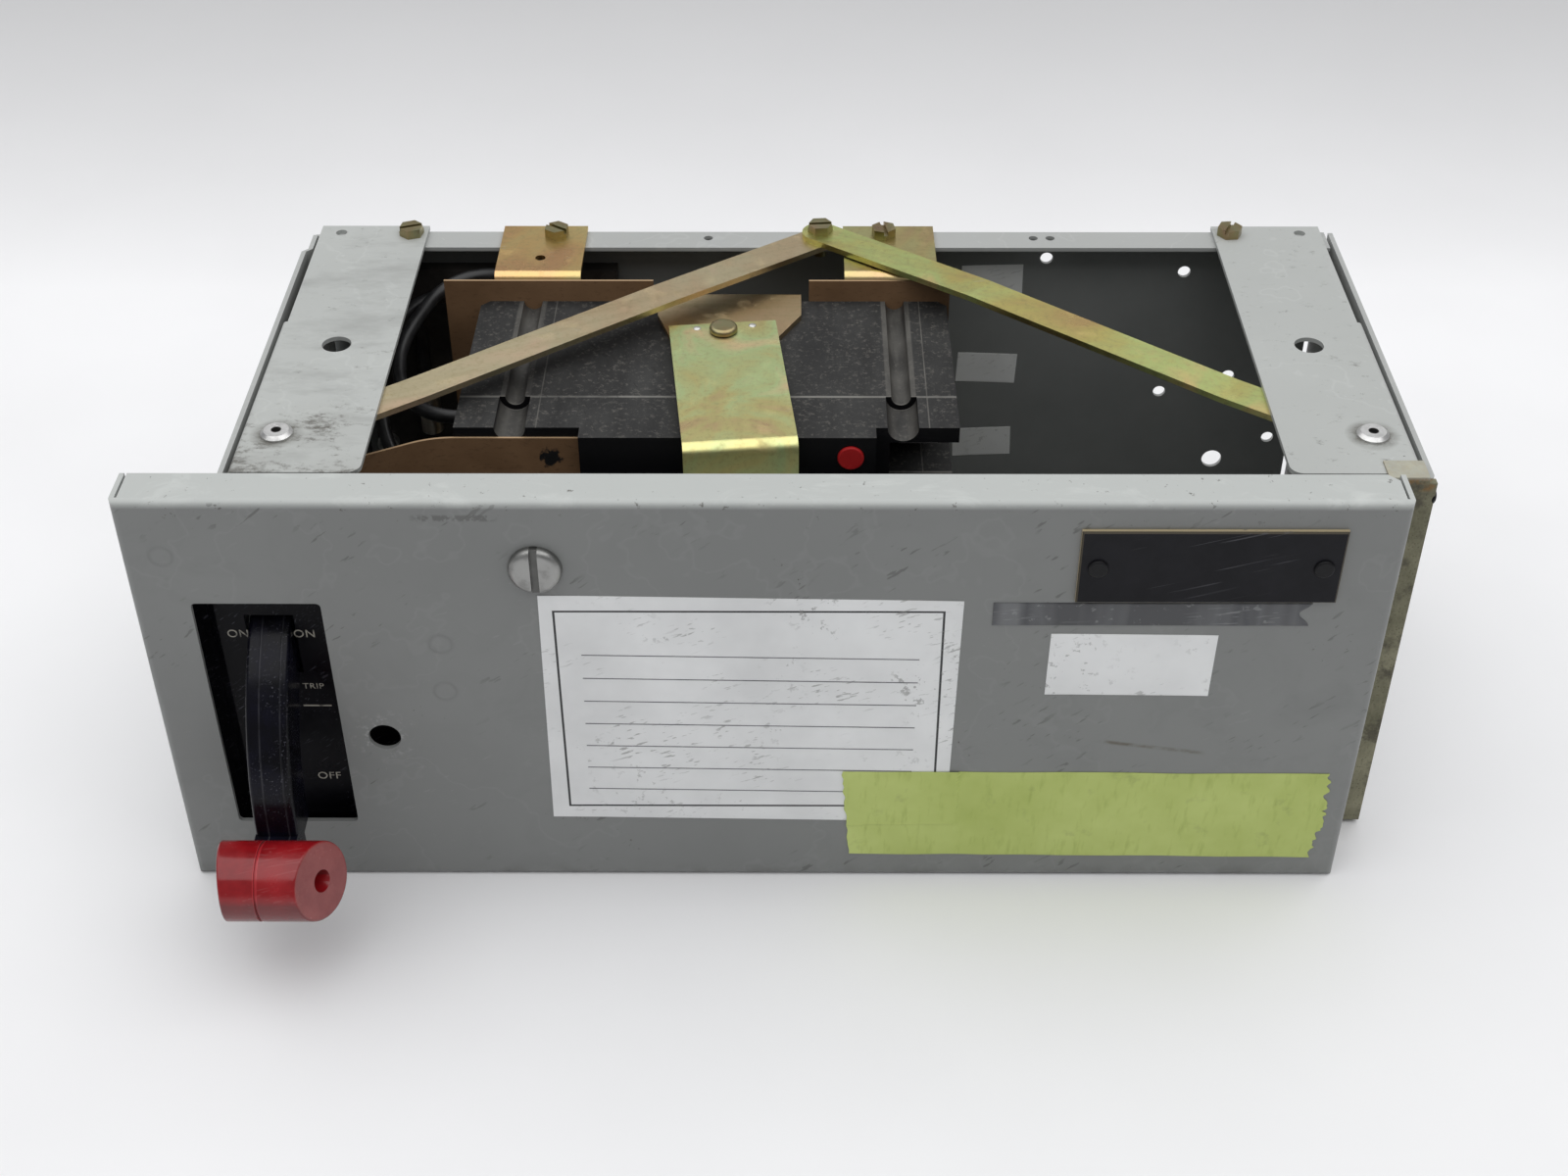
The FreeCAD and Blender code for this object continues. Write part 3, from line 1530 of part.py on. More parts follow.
def line_wire(pole):
    route = wire_route(pole)
    edges = []
    last = route[0]
    for before, corner, after in zip(route, route[1:], route[2:]):
        back = before - corner
        ahead = after - corner
        run = min(back.Length, ahead.Length)
        back.normalize()
        ahead.normalize()
        turn = math.pi - back.getAngle(ahead)
        trim = wire_trim_share * run
        radius = trim / math.tan(turn / 2)
        bisector = back + ahead
        bisector.normalize()
        center = corner + bisector * (radius / math.cos(turn / 2))
        start = corner + back * trim
        end = corner + ahead * trim
        middle = center - bisector * radius
        edges.append(Part.makeLine(last, start))
        edges.append(Part.Arc(start, middle, end).toShape())
        last = end
    edges.append(Part.makeLine(last, route[-1]))
    path = Part.Wire(edges)
    first = route[1] - route[0]
    circle = Part.Circle(route[0], first, wire_diameter / 2).toShape()
    return path.makePipeShell([Part.Wire([circle])], True, True)


save("stab_block", stab_block())
save("stab_fingers", [stab_pair(place) for place in stab_places])
save("stab_mounting_screws", stab_mounting_screws())
for pole in range(len(pole_heights)):
    save("line_wire_" + str(pole + 1), line_wire(pole))
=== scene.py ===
import json
import math

import bpy
import bmesh
from mathutils import Matrix, Vector, noise


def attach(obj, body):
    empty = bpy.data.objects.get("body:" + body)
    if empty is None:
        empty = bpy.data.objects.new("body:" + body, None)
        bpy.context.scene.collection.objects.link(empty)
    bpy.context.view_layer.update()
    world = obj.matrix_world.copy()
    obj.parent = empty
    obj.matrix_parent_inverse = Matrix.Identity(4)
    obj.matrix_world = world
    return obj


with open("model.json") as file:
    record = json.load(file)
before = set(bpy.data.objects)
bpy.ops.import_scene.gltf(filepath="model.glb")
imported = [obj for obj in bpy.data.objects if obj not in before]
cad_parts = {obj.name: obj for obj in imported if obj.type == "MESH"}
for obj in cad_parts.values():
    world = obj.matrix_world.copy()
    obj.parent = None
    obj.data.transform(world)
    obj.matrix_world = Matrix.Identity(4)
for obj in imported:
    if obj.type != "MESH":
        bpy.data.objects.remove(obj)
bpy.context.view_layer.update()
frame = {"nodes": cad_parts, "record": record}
nodes = frame["nodes"]
MM = 0.001

# Places on the bucket, in millimetres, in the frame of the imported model
DOOR_FACE = -104.25
HOUSING_FACE = -96.25
REAR_PANEL_FACE = 75.25
BREAKER_SEAM = -19.25
CHANNELS = (-99.25, 25.35)
CHANNEL_HALF = 4.6
CHANNEL_MOUTH = (126.5, 127.5)
MODULE_LINE = 8.3
YOKE_PIVOT = (-32.8, 14.35)
YOKE_TOP = 136.4
LEVER_SEAMS = (-170.2, -163.9)
BRACE_SLANT = math.radians(23)
LATCH_SLOT = -84.8
LATCH_SLOT_HALF = 1.1
LATCH_SLOT_FLOOR = (-106.6, -106.2)
GRIP_GROOVE = -170.05
LOCK_HOLE = (-136.6, 61.0)
POP_RIVETS = ((-167.5, -55.95), (167.5, -55.95))
RIVET_CORE = (1.75, 1.35)

# Wear, dirt, painted light and painted shade, in millimetres: places of marks, and spans from where one
# begins to where it is full
DOOR_SKIN = (0.9, 0.4)
DOOR_LIT_RIM = (148.6, 150.6)
DOOR_BEND = (140.0, 149.0)
DOOR_FOOT = 6.0
WELD_MARKS = ((-193.6, 131.6), (-115.3, 98.8), (-115.7, 80.1))
WELD_MARK_RADIUS = 3.4
SCRAPE = (102.0, 57.4)
SCRAPE_SLOPE = 0.15
SCRAPE_HALF = 13.0
TOP_SCUFF = (-107.0, 145.5)
TOP_SCUFF_HALF = (10.0, 0.7)
KEY_WEAR = (12.0, 4.0)
PANEL_SHADE_SPAN = (139.6, 138.8)
RIVET_HALO = (8.6, 5.2)
STRAP_LEFT = -150.0
INK_BLOT = (-87.0, 0.0, 121.0)
INK_REACH = (3.6, 2.6)
INK_RAGGED = 1.6
FIBRE_FRONT = (0.0, -20.0)
GASKET_FOLD = (141.2, 142.1)
GASKET_RUST = 140.0

# Dirt on the left strap: each spot's place, reach and thickness
STRAP_SMEARS = (
    (-186.0, -80.0, 30.0, 1.0),
    (-145.0, -88.0, 24.0, 0.9),
    (-156.0, -52.0, 17.0, 0.55),
    (-188.0, -52.0, 16.0, 0.8),
)

# Tones, and the level that a mixed tone is held to
CLEAN_WHITE = 0.8
GRIME = (0.07, 0.062, 0.052)
ENAMEL_TONE = (0.39, 0.40, 0.39)
LETTER_TONE = (0.36, 0.34, 0.29)
WHITE_VINYL = (0.80, 0.81, 0.81)
TAG_FILM = (0.74, 0.75, 0.74)
CARD_INK = (0.02, 0.02, 0.022)

# Stuck-on sheets, in millimetres: a box is left, right, bottom and top
RECORD_CARD = (-85.6, 40.4, 26.0, 116.5)
RECORD_TILT = -0.9
FRAME_INSET = 5.0
FRAME_FOOT = 6.0
FRAME_LINE = 0.7
RULE_COUNT = 7
RULE_SPACING = 9.2
RULE_INSET = 12.0
RULE_THICK = 0.35
RULE_DEEP = 0.05
RULE_PROUD = 0.27
RULE_DROP = 5.0
SMALL_LABEL = (67.6, 117.6, 79.0, 102.9)
DARK_STRIP = (49.8, 146.6, 106.5, 114.9)
STRIP_TEAR = 5.0
TAPE = (5.0, 161.4, 9.8, 46.5)
TAPE_THICK = 0.16
TAPE_PROUD = 0.22
TAPE_PROUD_ON_CARD = 0.55
TAPE_LIFT = 2.6
TAPE_SAG = 1.2
TAG_SPOTS = ((121.0, 1.5), (84.0, -2.0), (51.0, 2.5))
TAG_LEFT = 51.4
TAG_WIDTH = 22.0
TAG_HEIGHT = 12.5
DOOR_LABEL = ("door", "black_laminate")
PANEL_LABEL = ("chassis", "grey_enamel")
LABEL_CELLS = (48, 32)
TAPE_CELLS = (220, 48)
TEAR_START = 0.9
CURL_START = 0.72
RIM_START = 0.97

# Small heads, in millimetres
YOKE_REST = 6.0
YOKE_WELDS = ((-8.7, 2.4), (9.9, 2.4))
YOKE_WELD_RADIUS = 1.3
YOKE_WELD_HEIGHT = 0.45
GASKET_CLIP = (181.9, -77.0, 134.6)
GASKET_CLIP_RADIUS = 2.6
GASKET_CLIP_HEIGHT = 1.2

# Lettering of the switch: piece, word, place and height of its letters
SWITCH_WORDS = (
    ("word_on_left", "ON", -178.4, 96.0, 3.0),
    ("word_on_right", "ON", -158.2, 96.0, 3.0),
    ("word_trip", "TRIP", -158.4, 75.0, 2.3),
    ("word_off_right", "OFF", -158.6, 37.0, 3.0),
)
FONT_SIZE_PER_HEIGHT = 1.38
WORD_THICK = 0.04
WORD_PROUD = 0.03
TRIP_RULE = (-162.6, 66.8)
TRIP_RULE_SIZE = (8.8, 0.55)
TRIP_RULE_PROUD = 0.08

# Camera of the photograph
CAMERA_PLACE = (-9.7, -583.15, 496.5)
CAMERA_YAW = 0.29
CAMERA_PITCH = 38.149
CAMERA_ROLL = -0.094
CAMERA_LENS = 47.58


def set_camera():
    yaw = math.radians(CAMERA_YAW)
    pitch = math.radians(CAMERA_PITCH)
    roll = math.radians(CAMERA_ROLL)
    right = Vector((math.cos(yaw), math.sin(yaw), 0))
    ahead = Vector((-math.sin(yaw) * math.cos(pitch), math.cos(yaw) * math.cos(pitch), -math.sin(pitch)))
    up = right.cross(ahead)
    rolled_right = right * math.cos(roll) + up * math.sin(roll)
    rolled_up = up * math.cos(roll) - right * math.sin(roll)
    lens = bpy.data.cameras.new("photo_camera")
    lens.lens = CAMERA_LENS
    lens.sensor_width = 36
    lens.clip_start = 0.01
    camera = bpy.data.objects.new("photo_camera", lens)
    turn = Matrix((rolled_right, rolled_up, -ahead)).transposed().to_4x4()
    camera.matrix_world = Matrix.Translation(Vector(CAMERA_PLACE) * MM) @ turn
    bpy.context.scene.collection.objects.link(camera)
    bpy.context.scene.camera = camera


set_camera()


class Finish:
    """One procedural finish: a shader, and the nodes that feed it from the piece's own coordinates."""

    def __init__(self, name, colour, metallic=0.0, roughness=0.5, **sockets):
        self.material = bpy.data.materials.new(name)
        self.material.use_nodes = True
        self.nodes = self.material.node_tree.nodes
        self.links = self.material.node_tree.links
        self.shader = self.nodes["Principled BSDF"]
        self.shader.inputs["Base Color"].default_value = (*colour, 1)
        self.shader.inputs["Metallic"].default_value = metallic
        self.shader.inputs["Roughness"].default_value = roughness
        for socket, value in sockets.items():
            self.shader.inputs[socket.replace("_", " ")].default_value = value
        self.place = self.nodes.new("ShaderNodeTexCoord").outputs["Object"]
        self.axes = None
        self.facing = None

    def feed(self, socket, value):
        """Links a node's output, or writes a number or colour."""
        if isinstance(value, bpy.types.NodeSocket):
            self.links.new(value, socket)
        elif isinstance(value, tuple) and len(value) == 3 and socket.type == "RGBA":
            socket.default_value = (*value, 1)
        else:
            socket.default_value = value

    def along(self, axis):
        """One coordinate of the surface, in metres."""
        if self.axes is None:
            split = self.nodes.new("ShaderNodeSeparateXYZ")
            self.links.new(self.place, split.inputs[0])
            self.axes = split
        return self.axes.outputs["XYZ".index(axis)]

    def normal(self, axis):
        """How far the surface faces along an axis of the piece itself, from -1 to 1."""
        if self.facing is None:
            split = self.nodes.new("ShaderNodeSeparateXYZ")
            self.links.new(self.place.node.outputs["Normal"], split.inputs[0])
            self.facing = split
        return self.facing.outputs["XYZ".index(axis)]

    def stretched(self, size, turn=(0, 0, 0), shift=(0, 0, 0)):
        """Coordinates squeezed by size along each axis; with a turn, along the turned axes."""
        mapping = self.nodes.new("ShaderNodeMapping")
        if any(turn):
            mapping.vector_type = "TEXTURE"
            size = tuple(1 / part for part in size)
        mapping.inputs["Scale"].default_value = size
        mapping.inputs["Rotation"].default_value = turn
        mapping.inputs["Location"].default_value = shift
        self.links.new(self.place, mapping.inputs["Vector"])
        return mapping.outputs[0]

    def mottle(self, scale, detail=4.0, rough=0.55, size=None, turn=(0, 0, 0), shift=(0, 0, 0), twist=0.0):
        """Cloudy noise: scale is how many features go in a metre."""
        cloud = self.nodes.new("ShaderNodeTexNoise")
        cloud.inputs["Scale"].default_value = scale
        cloud.inputs["Detail"].default_value = detail
        cloud.inputs["Roughness"].default_value = rough
        cloud.inputs["Distortion"].default_value = twist
        where = self.place
        if size is not None or any(shift):
            where = self.stretched(size or (1, 1, 1), turn, shift)
        self.links.new(where, cloud.inputs["Vector"])
        return cloud.outputs["Fac"]

    def cells(self, scale):
        """The distance from the middle of the nearest cell: scale is how many cells go in a metre."""
        cell = self.nodes.new("ShaderNodeTexVoronoi")
        cell.inputs["Scale"].default_value = scale
        self.links.new(self.place, cell.inputs["Vector"])
        return cell.outputs["Distance"]

    def ramp(self, value, low, high, out_low=0.0, out_high=1.0):
        """Carries a value from low..high to out_low..out_high, held at both ends."""
        span = self.nodes.new("ShaderNodeMapRange")
        for socket, number in zip(span.inputs, (value, low, high, out_low, out_high)):
            self.feed(socket, number)
        return span.outputs[0]

    def sum(self, how, first, second=0.0, held=True):
        """Arithmetic on two values: a sum, difference or product is held to the range from 0 to 1."""
        work = self.nodes.new("ShaderNodeMath")
        work.operation = how
        work.use_clamp = held and how in ("ADD", "MULTIPLY", "SUBTRACT")
        self.feed(work.inputs[0], first)
        self.feed(work.inputs[1], second)
        return work.outputs[0]

    def both(self, *shares):
        """Where all the shares are."""
        result = shares[0]
        for share in shares[1:]:
            result = self.sum("MULTIPLY", result, share)
        return result

    def either(self, *shares):
        """Where any of the shares is."""
        result = shares[0]
        for share in shares[1:]:
            result = self.sum("MAXIMUM", result, share)
        return result

    def paint(self, under, over, share, most=None):
        """One colour over another by a share, which is first multiplied by the most that it covers."""
        if most is not None:
            share = self.sum("MULTIPLY", share, most)
        mix = self.nodes.new("ShaderNodeMix")
        mix.data_type = "RGBA"
        mix.clamp_factor = True
        self.feed(mix.inputs["Factor"], share)
        self.feed(mix.inputs[6], under)
        self.feed(mix.inputs[7], over)
        return mix.outputs[2]

    def tints(self, value, *stops):
        """A run of colours: each stop is (place, colour)."""
        band = self.nodes.new("ShaderNodeValToRGB")
        elements = band.color_ramp.elements
        while len(elements) < len(stops):
            elements.new(0.5)
        for element, (at, colour) in zip(elements, stops):
            element.position = at
            element.color = (*colour, 1)
        self.links.new(value, band.inputs[0])
        return band.outputs[0]

    def near(self, axis, at, reach, soft=0.4):
        """1 within reach of a plane, in millimetres, and 0 beyond it."""
        return self.ramp(self.off(self.along(axis), at * MM), (reach + soft) * MM, reach * MM)

    def within(self, length, span):
        """0 at the first length of a span, in millimetres, and 1 at the second."""
        return self.ramp(length, span[0] * MM, span[1] * MM)

    def between(self, axis, span):
        """0 at the first place of a span along an axis, in millimetres, and 1 at the second."""
        return self.within(self.along(axis), span)

    def sum_free(self, how, first, second):
        """As sum, with nothing held to the range from 0 to 1."""
        return self.sum(how, first, second, False)

    def off(self, value, middle):
        """How far a value is from a middle, either way."""
        return self.sum("ABSOLUTE", self.sum_free("SUBTRACT", value, middle))

    def around(self, spot, flatten=(1, 1, 1)):
        """The distance from a spot given in millimetres, in metres."""
        shift = tuple(-at * MM * part for at, part in zip(spot, flatten))
        length = self.nodes.new("ShaderNodeVectorMath")
        length.operation = "LENGTH"
        self.links.new(self.stretched(flatten, shift=shift), length.inputs[0])
        return length.outputs["Value"]

    def colour(self, value):
        self.links.new(value, self.shader.inputs["Base Color"])

    def rough(self, value):
        self.links.new(value, self.shader.inputs["Roughness"])

    def relief(self, *heights):
        """Bumps from the finest to the broadest: each is (height, strength, depth in millimetres)."""
        previous = None
        for height, strength, depth in heights:
            bump = self.nodes.new("ShaderNodeBump")
            bump.inputs["Strength"].default_value = strength
            bump.inputs["Distance"].default_value = depth * MM
            self.links.new(height, bump.inputs["Height"])
            if previous is not None:
                self.links.new(previous, bump.inputs["Normal"])
            previous = bump.outputs["Normal"]
        self.links.new(previous, self.shader.inputs["Normal"])

    def scratches(self, turn, density=0.62, scale=60.0, shift=(0, 0, 0)):
        """Thin straight marks that run one way."""
        marks = self.mottle(scale, 2.0, 0.5, size=(14.0, 14.0, 0.35), turn=turn, shift=shift)
        patches = self.mottle(35.0, 2.0, 0.5, shift=(shift[0] + 0.3, 0.1, 0.2))
        return self.both(self.ramp(marks, density + 0.05, density + 0.09), self.ramp(patches, 0.5, 0.62))


# Finishes
def times(tone, share):
    """A colour times a share, or times a share for each of its parts, held below a clean white."""
    shares = share if isinstance(share, tuple) else (share,) * 3
    return tuple(min(part * by, CLEAN_WHITE) for part, by in zip(tone, shares))


def grey_enamel(name="grey_enamel", extra=None, tone=ENAMEL_TONE):
    """Baked grey enamel: faint mottle, dried tide lines, orange peel, rubbed marks and small chips."""
    coat = Finish(name, tone, 0.0, 0.42, Specular_IOR_Level=0.40)
    broad = coat.mottle(9.0, 3.0, 0.5)
    cloud = coat.mottle(48.0, 5.0, 0.66, shift=(0.2, 0.5, 0.1), twist=0.7)
    shade = coat.paint(times(tone, 0.94), times(tone, 1.04), coat.ramp(broad, 0.3, 0.7))
    smudge = coat.both(coat.ramp(cloud, 0.50, 0.72), coat.ramp(broad, 0.40, 0.62))
    shade = coat.paint(shade, times(tone, 0.78), smudge, 0.30)
    level = coat.mottle(17.0, 4.0, 0.6, shift=(0.6, 0.1, 0.3))
    tide = coat.ramp(coat.off(level, 0.53), 0.010, 0.001)
    shade = coat.paint(shade, times(tone, 1.18), tide, 0.30)
    rubs = coat.either(
        coat.scratches((0.0, 1.15, 0.2), 0.63, 55.0),
        coat.scratches((1.35, 0.2, 0.6), 0.64, 70.0, (0.4, 0.1, 0.0)),
    )
    shade = coat.paint(shade, times(tone, 1.4), rubs, 0.25)
    chips = coat.both(
        coat.ramp(coat.mottle(560.0, 4.0, 0.7), 0.66, 0.69),
        coat.ramp(coat.mottle(60.0, 2.0, 0.5, shift=(0.7, 0.2, 0.4)), 0.63, 0.71),
    )
    shade = coat.paint(shade, (0.075, 0.07, 0.062), chips)
    height = None
    if extra is not None:
        shade, height = extra(coat, shade)
    coat.colour(shade)
    gloss = coat.ramp(cloud, 0.35, 0.7, 0.36, 0.52)
    coat.rough(coat.sum_free("ADD", gloss, coat.sum("MULTIPLY", chips, 0.3)))
    peel = coat.mottle(900.0, 2.0, 0.5)
    bumps = [(peel, 0.08, 0.05), (coat.sum("SUBTRACT", 1.0, coat.either(rubs, chips)), 0.12, 0.05)]
    if height is not None:
        bumps.append((height, 0.45, 0.25))
    coat.relief(*bumps)
    return coat.material


def door_marks(coat, shade):
    """Marks of the door alone: weld rings, a painted highlight along its top edge with rubbed marks over it,
    nicks, a darker mottled foot, scrapes and key wear.
    """
    depth = tuple(DOOR_FACE + part for part in DOOR_SKIN)
    outside = coat.between("Y", depth)
    rings = []
    for x, z in WELD_MARKS:
        away = coat.around((x, 0, z), (1, 0, 1))
        rings.append(coat.ramp(coat.off(away, WELD_MARK_RADIUS * MM), 0.9 * MM, 0.1 * MM))
    rings = coat.both(coat.either(*rings), outside)
    shade = coat.paint(shade, (0.14, 0.144, 0.14), rings, 0.30)
    # Painted highlight: the door's top edge is painted lighter where the light from above falls on it;
    # rubbed marks lighten it further.
    lit_rim = coat.between("Z", DOOR_LIT_RIM)
    shade = coat.paint(shade, (0.49, 0.51, 0.495), lit_rim, 0.85)
    rubs = coat.mottle(90.0, 5.0, 0.7, size=(0.5, 1, 1), twist=0.8)
    worn = coat.both(lit_rim, coat.ramp(rubs, 0.54, 0.72))
    shade = coat.paint(shade, (0.61, 0.63, 0.61), worn, 0.4)
    pits = coat.mottle(330.0, 4.0, 0.75, shift=(0.1, 0.8, 0.2))
    nicks = coat.both(coat.between("Z", DOOR_BEND), coat.ramp(pits, 0.655, 0.685))
    shade = coat.paint(shade, GRIME, nicks, 0.75)
    # Darker towards the bottom: a mottled band along the foot of the door.
    foot_mottle = coat.mottle(90.0, 4.0, 0.6, shift=(0.3, 0, 0))
    dark_foot = coat.both(coat.between("Z", (DOOR_FOOT, 0.0)), coat.ramp(foot_mottle, 0.45, 0.7))
    shade = coat.paint(shade, GRIME, dark_foot, 0.55)
    slant = coat.sum_free("ADD", coat.along("Z"), coat.sum_free("MULTIPLY", coat.along("X"), SCRAPE_SLOPE))
    scrape = coat.both(
        outside,
        coat.near("X", SCRAPE[0], SCRAPE_HALF, 5.0),
        coat.ramp(coat.off(slant, (SCRAPE[1] + SCRAPE_SLOPE * SCRAPE[0]) * MM), 1.0 * MM, 0.2 * MM),
        coat.ramp(coat.mottle(150.0, 4.0, 0.65, size=(0.5, 1, 1)), 0.40, 0.54),
    )
    shade = coat.paint(shade, (0.10, 0.085, 0.06), scrape, 0.8)
    hairs = coat.both(outside, coat.scratches((0.3, 0.9, 0.1), 0.585, 42.0, (0.9, 0.2, 0.5)))
    shade = coat.paint(shade, (0.07, 0.07, 0.066), hairs, 0.55)
    from_hole = coat.around((LOCK_HOLE[0], 0, LOCK_HOLE[1]), (1, 0, 1))
    keyed = coat.both(
        outside,
        coat.within(from_hole, KEY_WEAR),
        coat.ramp(coat.mottle(380.0, 4.0, 0.7, shift=(0.6, 0.4, 0.9)), 0.56, 0.64),
    )
    shade = coat.paint(shade, (0.40, 0.41, 0.40), keyed, 0.6)
    top_scuff = coat.both(
        outside,
        coat.near("X", TOP_SCUFF[0], TOP_SCUFF_HALF[0], 3.0),
        coat.near("Z", TOP_SCUFF[1], TOP_SCUFF_HALF[1], 0.7),
        coat.ramp(coat.mottle(420.0, 3.0, 0.6), 0.46, 0.54),
    )
    shade = coat.paint(shade, (0.10, 0.10, 0.095), top_scuff, 0.7)
    return shade, rings


def panel_marks(coat, shade):
    """Painted shade on the inside of the rear panel, under its flange."""
    # Painted shade: the face that looks into the box is darker below the flange.
    inside = coat.both(coat.ramp(coat.normal("Y"), -0.5, -0.9), coat.between("Z", PANEL_SHADE_SPAN))
    cloud = coat.ramp(coat.mottle(24.0, 4.0, 0.6, shift=(0.4, 0.0, 0.7)), 0.3, 0.7, 0.85, 1.0)
    return coat.paint(shade, (0.165, 0.172, 0.168), coat.both(inside, cloud)), None


def strap_marks(coat, shade):
    """Handling grime on the straps, thickest at the front of the left one, and a ring at each rivet."""
    left_side = coat.ramp(coat.along("X"), 0.0, STRAP_LEFT * MM, 0.12, 1.0)
    smears = []
    for x, y, reach, thick in STRAP_SMEARS:
        smears.append(coat.ramp(coat.around((x, y, 0), (1, 1, 0)), reach * MM, 0.0, 0.0, thick))
    patches = coat.either(*smears)
    grit = coat.mottle(300.0, 6.0, 0.8, size=(0.55, 1, 1))
    specks = coat.ramp(grit, 0.38, 0.54)
    dirt = coat.ramp(coat.sum_free("ADD", grit, coat.sum_free("MULTIPLY", patches, 0.36)), 0.60, 0.76)
    shade = coat.paint(shade, (0.20, 0.188, 0.160), patches, 0.30)
    shade = coat.paint(shade, (0.08, 0.073, 0.060), dirt, 0.9)
    streaks = coat.mottle(60.0, 5.0, 0.7, size=(0.35, 1, 1), shift=(0.9, 0.3, 0.2))
    wiped = coat.both(left_side, coat.ramp(streaks, 0.52, 0.70))
    shade = coat.paint(shade, (0.26, 0.265, 0.255), wiped, 0.50)
    for x, y in POP_RIVETS:
        ring = coat.within(coat.around((x, y, 0), (1, 1, 0)), RIVET_HALO)
        halo = coat.both(ring, coat.ramp(specks, 0.0, 1.0, 0.45, 1.0))
        shade = coat.paint(shade, (0.10, 0.095, 0.08), halo, 0.8)
    return shade, None


def yellow_zinc(name="yellow_zinc", turn=0.0, cast_and_sheen=(1.0, 1.0, 1.0), pink=0.0, grain=18.0, lines=0.45):
    """Yellow chromate over zinc: olive gold with pink and green bloom, drawn lines and bright rubs."""
    plate = Finish(name, (0.62, 0.52, 0.26), 1.0, 0.32, Specular_IOR_Level=0.5)
    bloom = plate.mottle(grain, 4.0, 0.55, twist=0.6)
    stops = (
        (0.30, (0.64, 0.41, 0.24)),
        (0.42, (0.60, 0.51, 0.23)),
        (0.55, (0.47, 0.54, 0.28)),
        (0.66, (0.62, 0.46, 0.28)),
    )
    # Each part's tint multiplies these colours; where it is above one, it brightens the zinc as a painted
    # reflection.
    tint = plate.tints(bloom, *[(at, times(colour, cast_and_sheen)) for at, colour in stops])
    tint = plate.paint(tint, times((0.60, 0.42, 0.29), cast_and_sheen), plate.ramp(bloom, 0.2, 0.8, pink, pink * 0.7))
    drawn = plate.mottle(300.0, 3.0, 0.6, size=(0.04, 1, 1), turn=(0, 0, turn))
    tint = plate.paint(tint, (0.40, 0.33, 0.17), plate.ramp(drawn, 0.5, 0.72, 0.0, lines))
    tarnish = plate.ramp(plate.mottle(130.0, 5.0, 0.65, shift=(0.6, 0.2, 0.1)), 0.56, 0.72)
    tint = plate.paint(tint, (0.27, 0.20, 0.11), tarnish, 0.35)
    speckle = plate.ramp(plate.mottle(520.0, 4.0, 0.7, shift=(0.1, 0.7, 0.4)), 0.50, 0.68)
    tint = plate.paint(tint, (0.36, 0.29, 0.14), speckle, 0.30)
    rubbed = plate.scratches((0.2, 1.4, 0.3), 0.62, 80.0)
    tint = plate.paint(tint, (0.75, 0.73, 0.62), rubbed, 0.25)
    plate.colour(tint)
    gloss = plate.ramp(bloom, 0.3, 0.7, 0.26, 0.42)
    plate.rough(plate.sum_free("ADD", gloss, plate.sum("MULTIPLY", tarnish, 0.22)))
    plate.relief((drawn, 0.06, 0.05), (plate.mottle(700.0, 2.0), 0.05, 0.05))
    return plate.material


def zinc(name, tone, rough_low, rough_high, hollows=(), slot=None):
    """Bright metal: darker, duller patches, fine scratches, and painted shade in a slot and in hollow rivet
    cores, where it has them.
    """
    metal = Finish(name, tone, 1.0, rough_low)
    dull_and_shaded = metal.mottle(160.0, 4.0, 0.6)
    shade = metal.paint(tone, times(tone, 0.55), metal.ramp(dull_and_shaded, 0.5, 0.75, 0.0, 0.8))
    marks = metal.scratches((0.3, 1.2, 0.5), 0.58, 120.0)
    shade = metal.paint(shade, times(tone, 1.3), marks)
    if slot is not None:
        # Painted shade in the latch's slot.
        across = metal.near("X", slot, LATCH_SLOT_HALF, 0.15)
        groove = metal.both(across, metal.between("Y", LATCH_SLOT_FLOOR))
        shade = metal.paint(shade, (0.12, 0.12, 0.115), groove)
    for x, y in hollows:
        # Painted shade in each rivet's hollow core.
        core_shade = metal.within(metal.around((x, y, 0), (1, 1, 0)), RIVET_CORE)
        shade = metal.paint(shade, (0.03, 0.03, 0.028), core_shade)
    metal.colour(shade)
    metal.rough(metal.ramp(dull_and_shaded, 0.35, 0.7, rough_low, rough_high))
    metal.relief((metal.mottle(900.0, 2.0), 0.12, 0.05), (marks, 0.1, 0.05))
    return metal.material


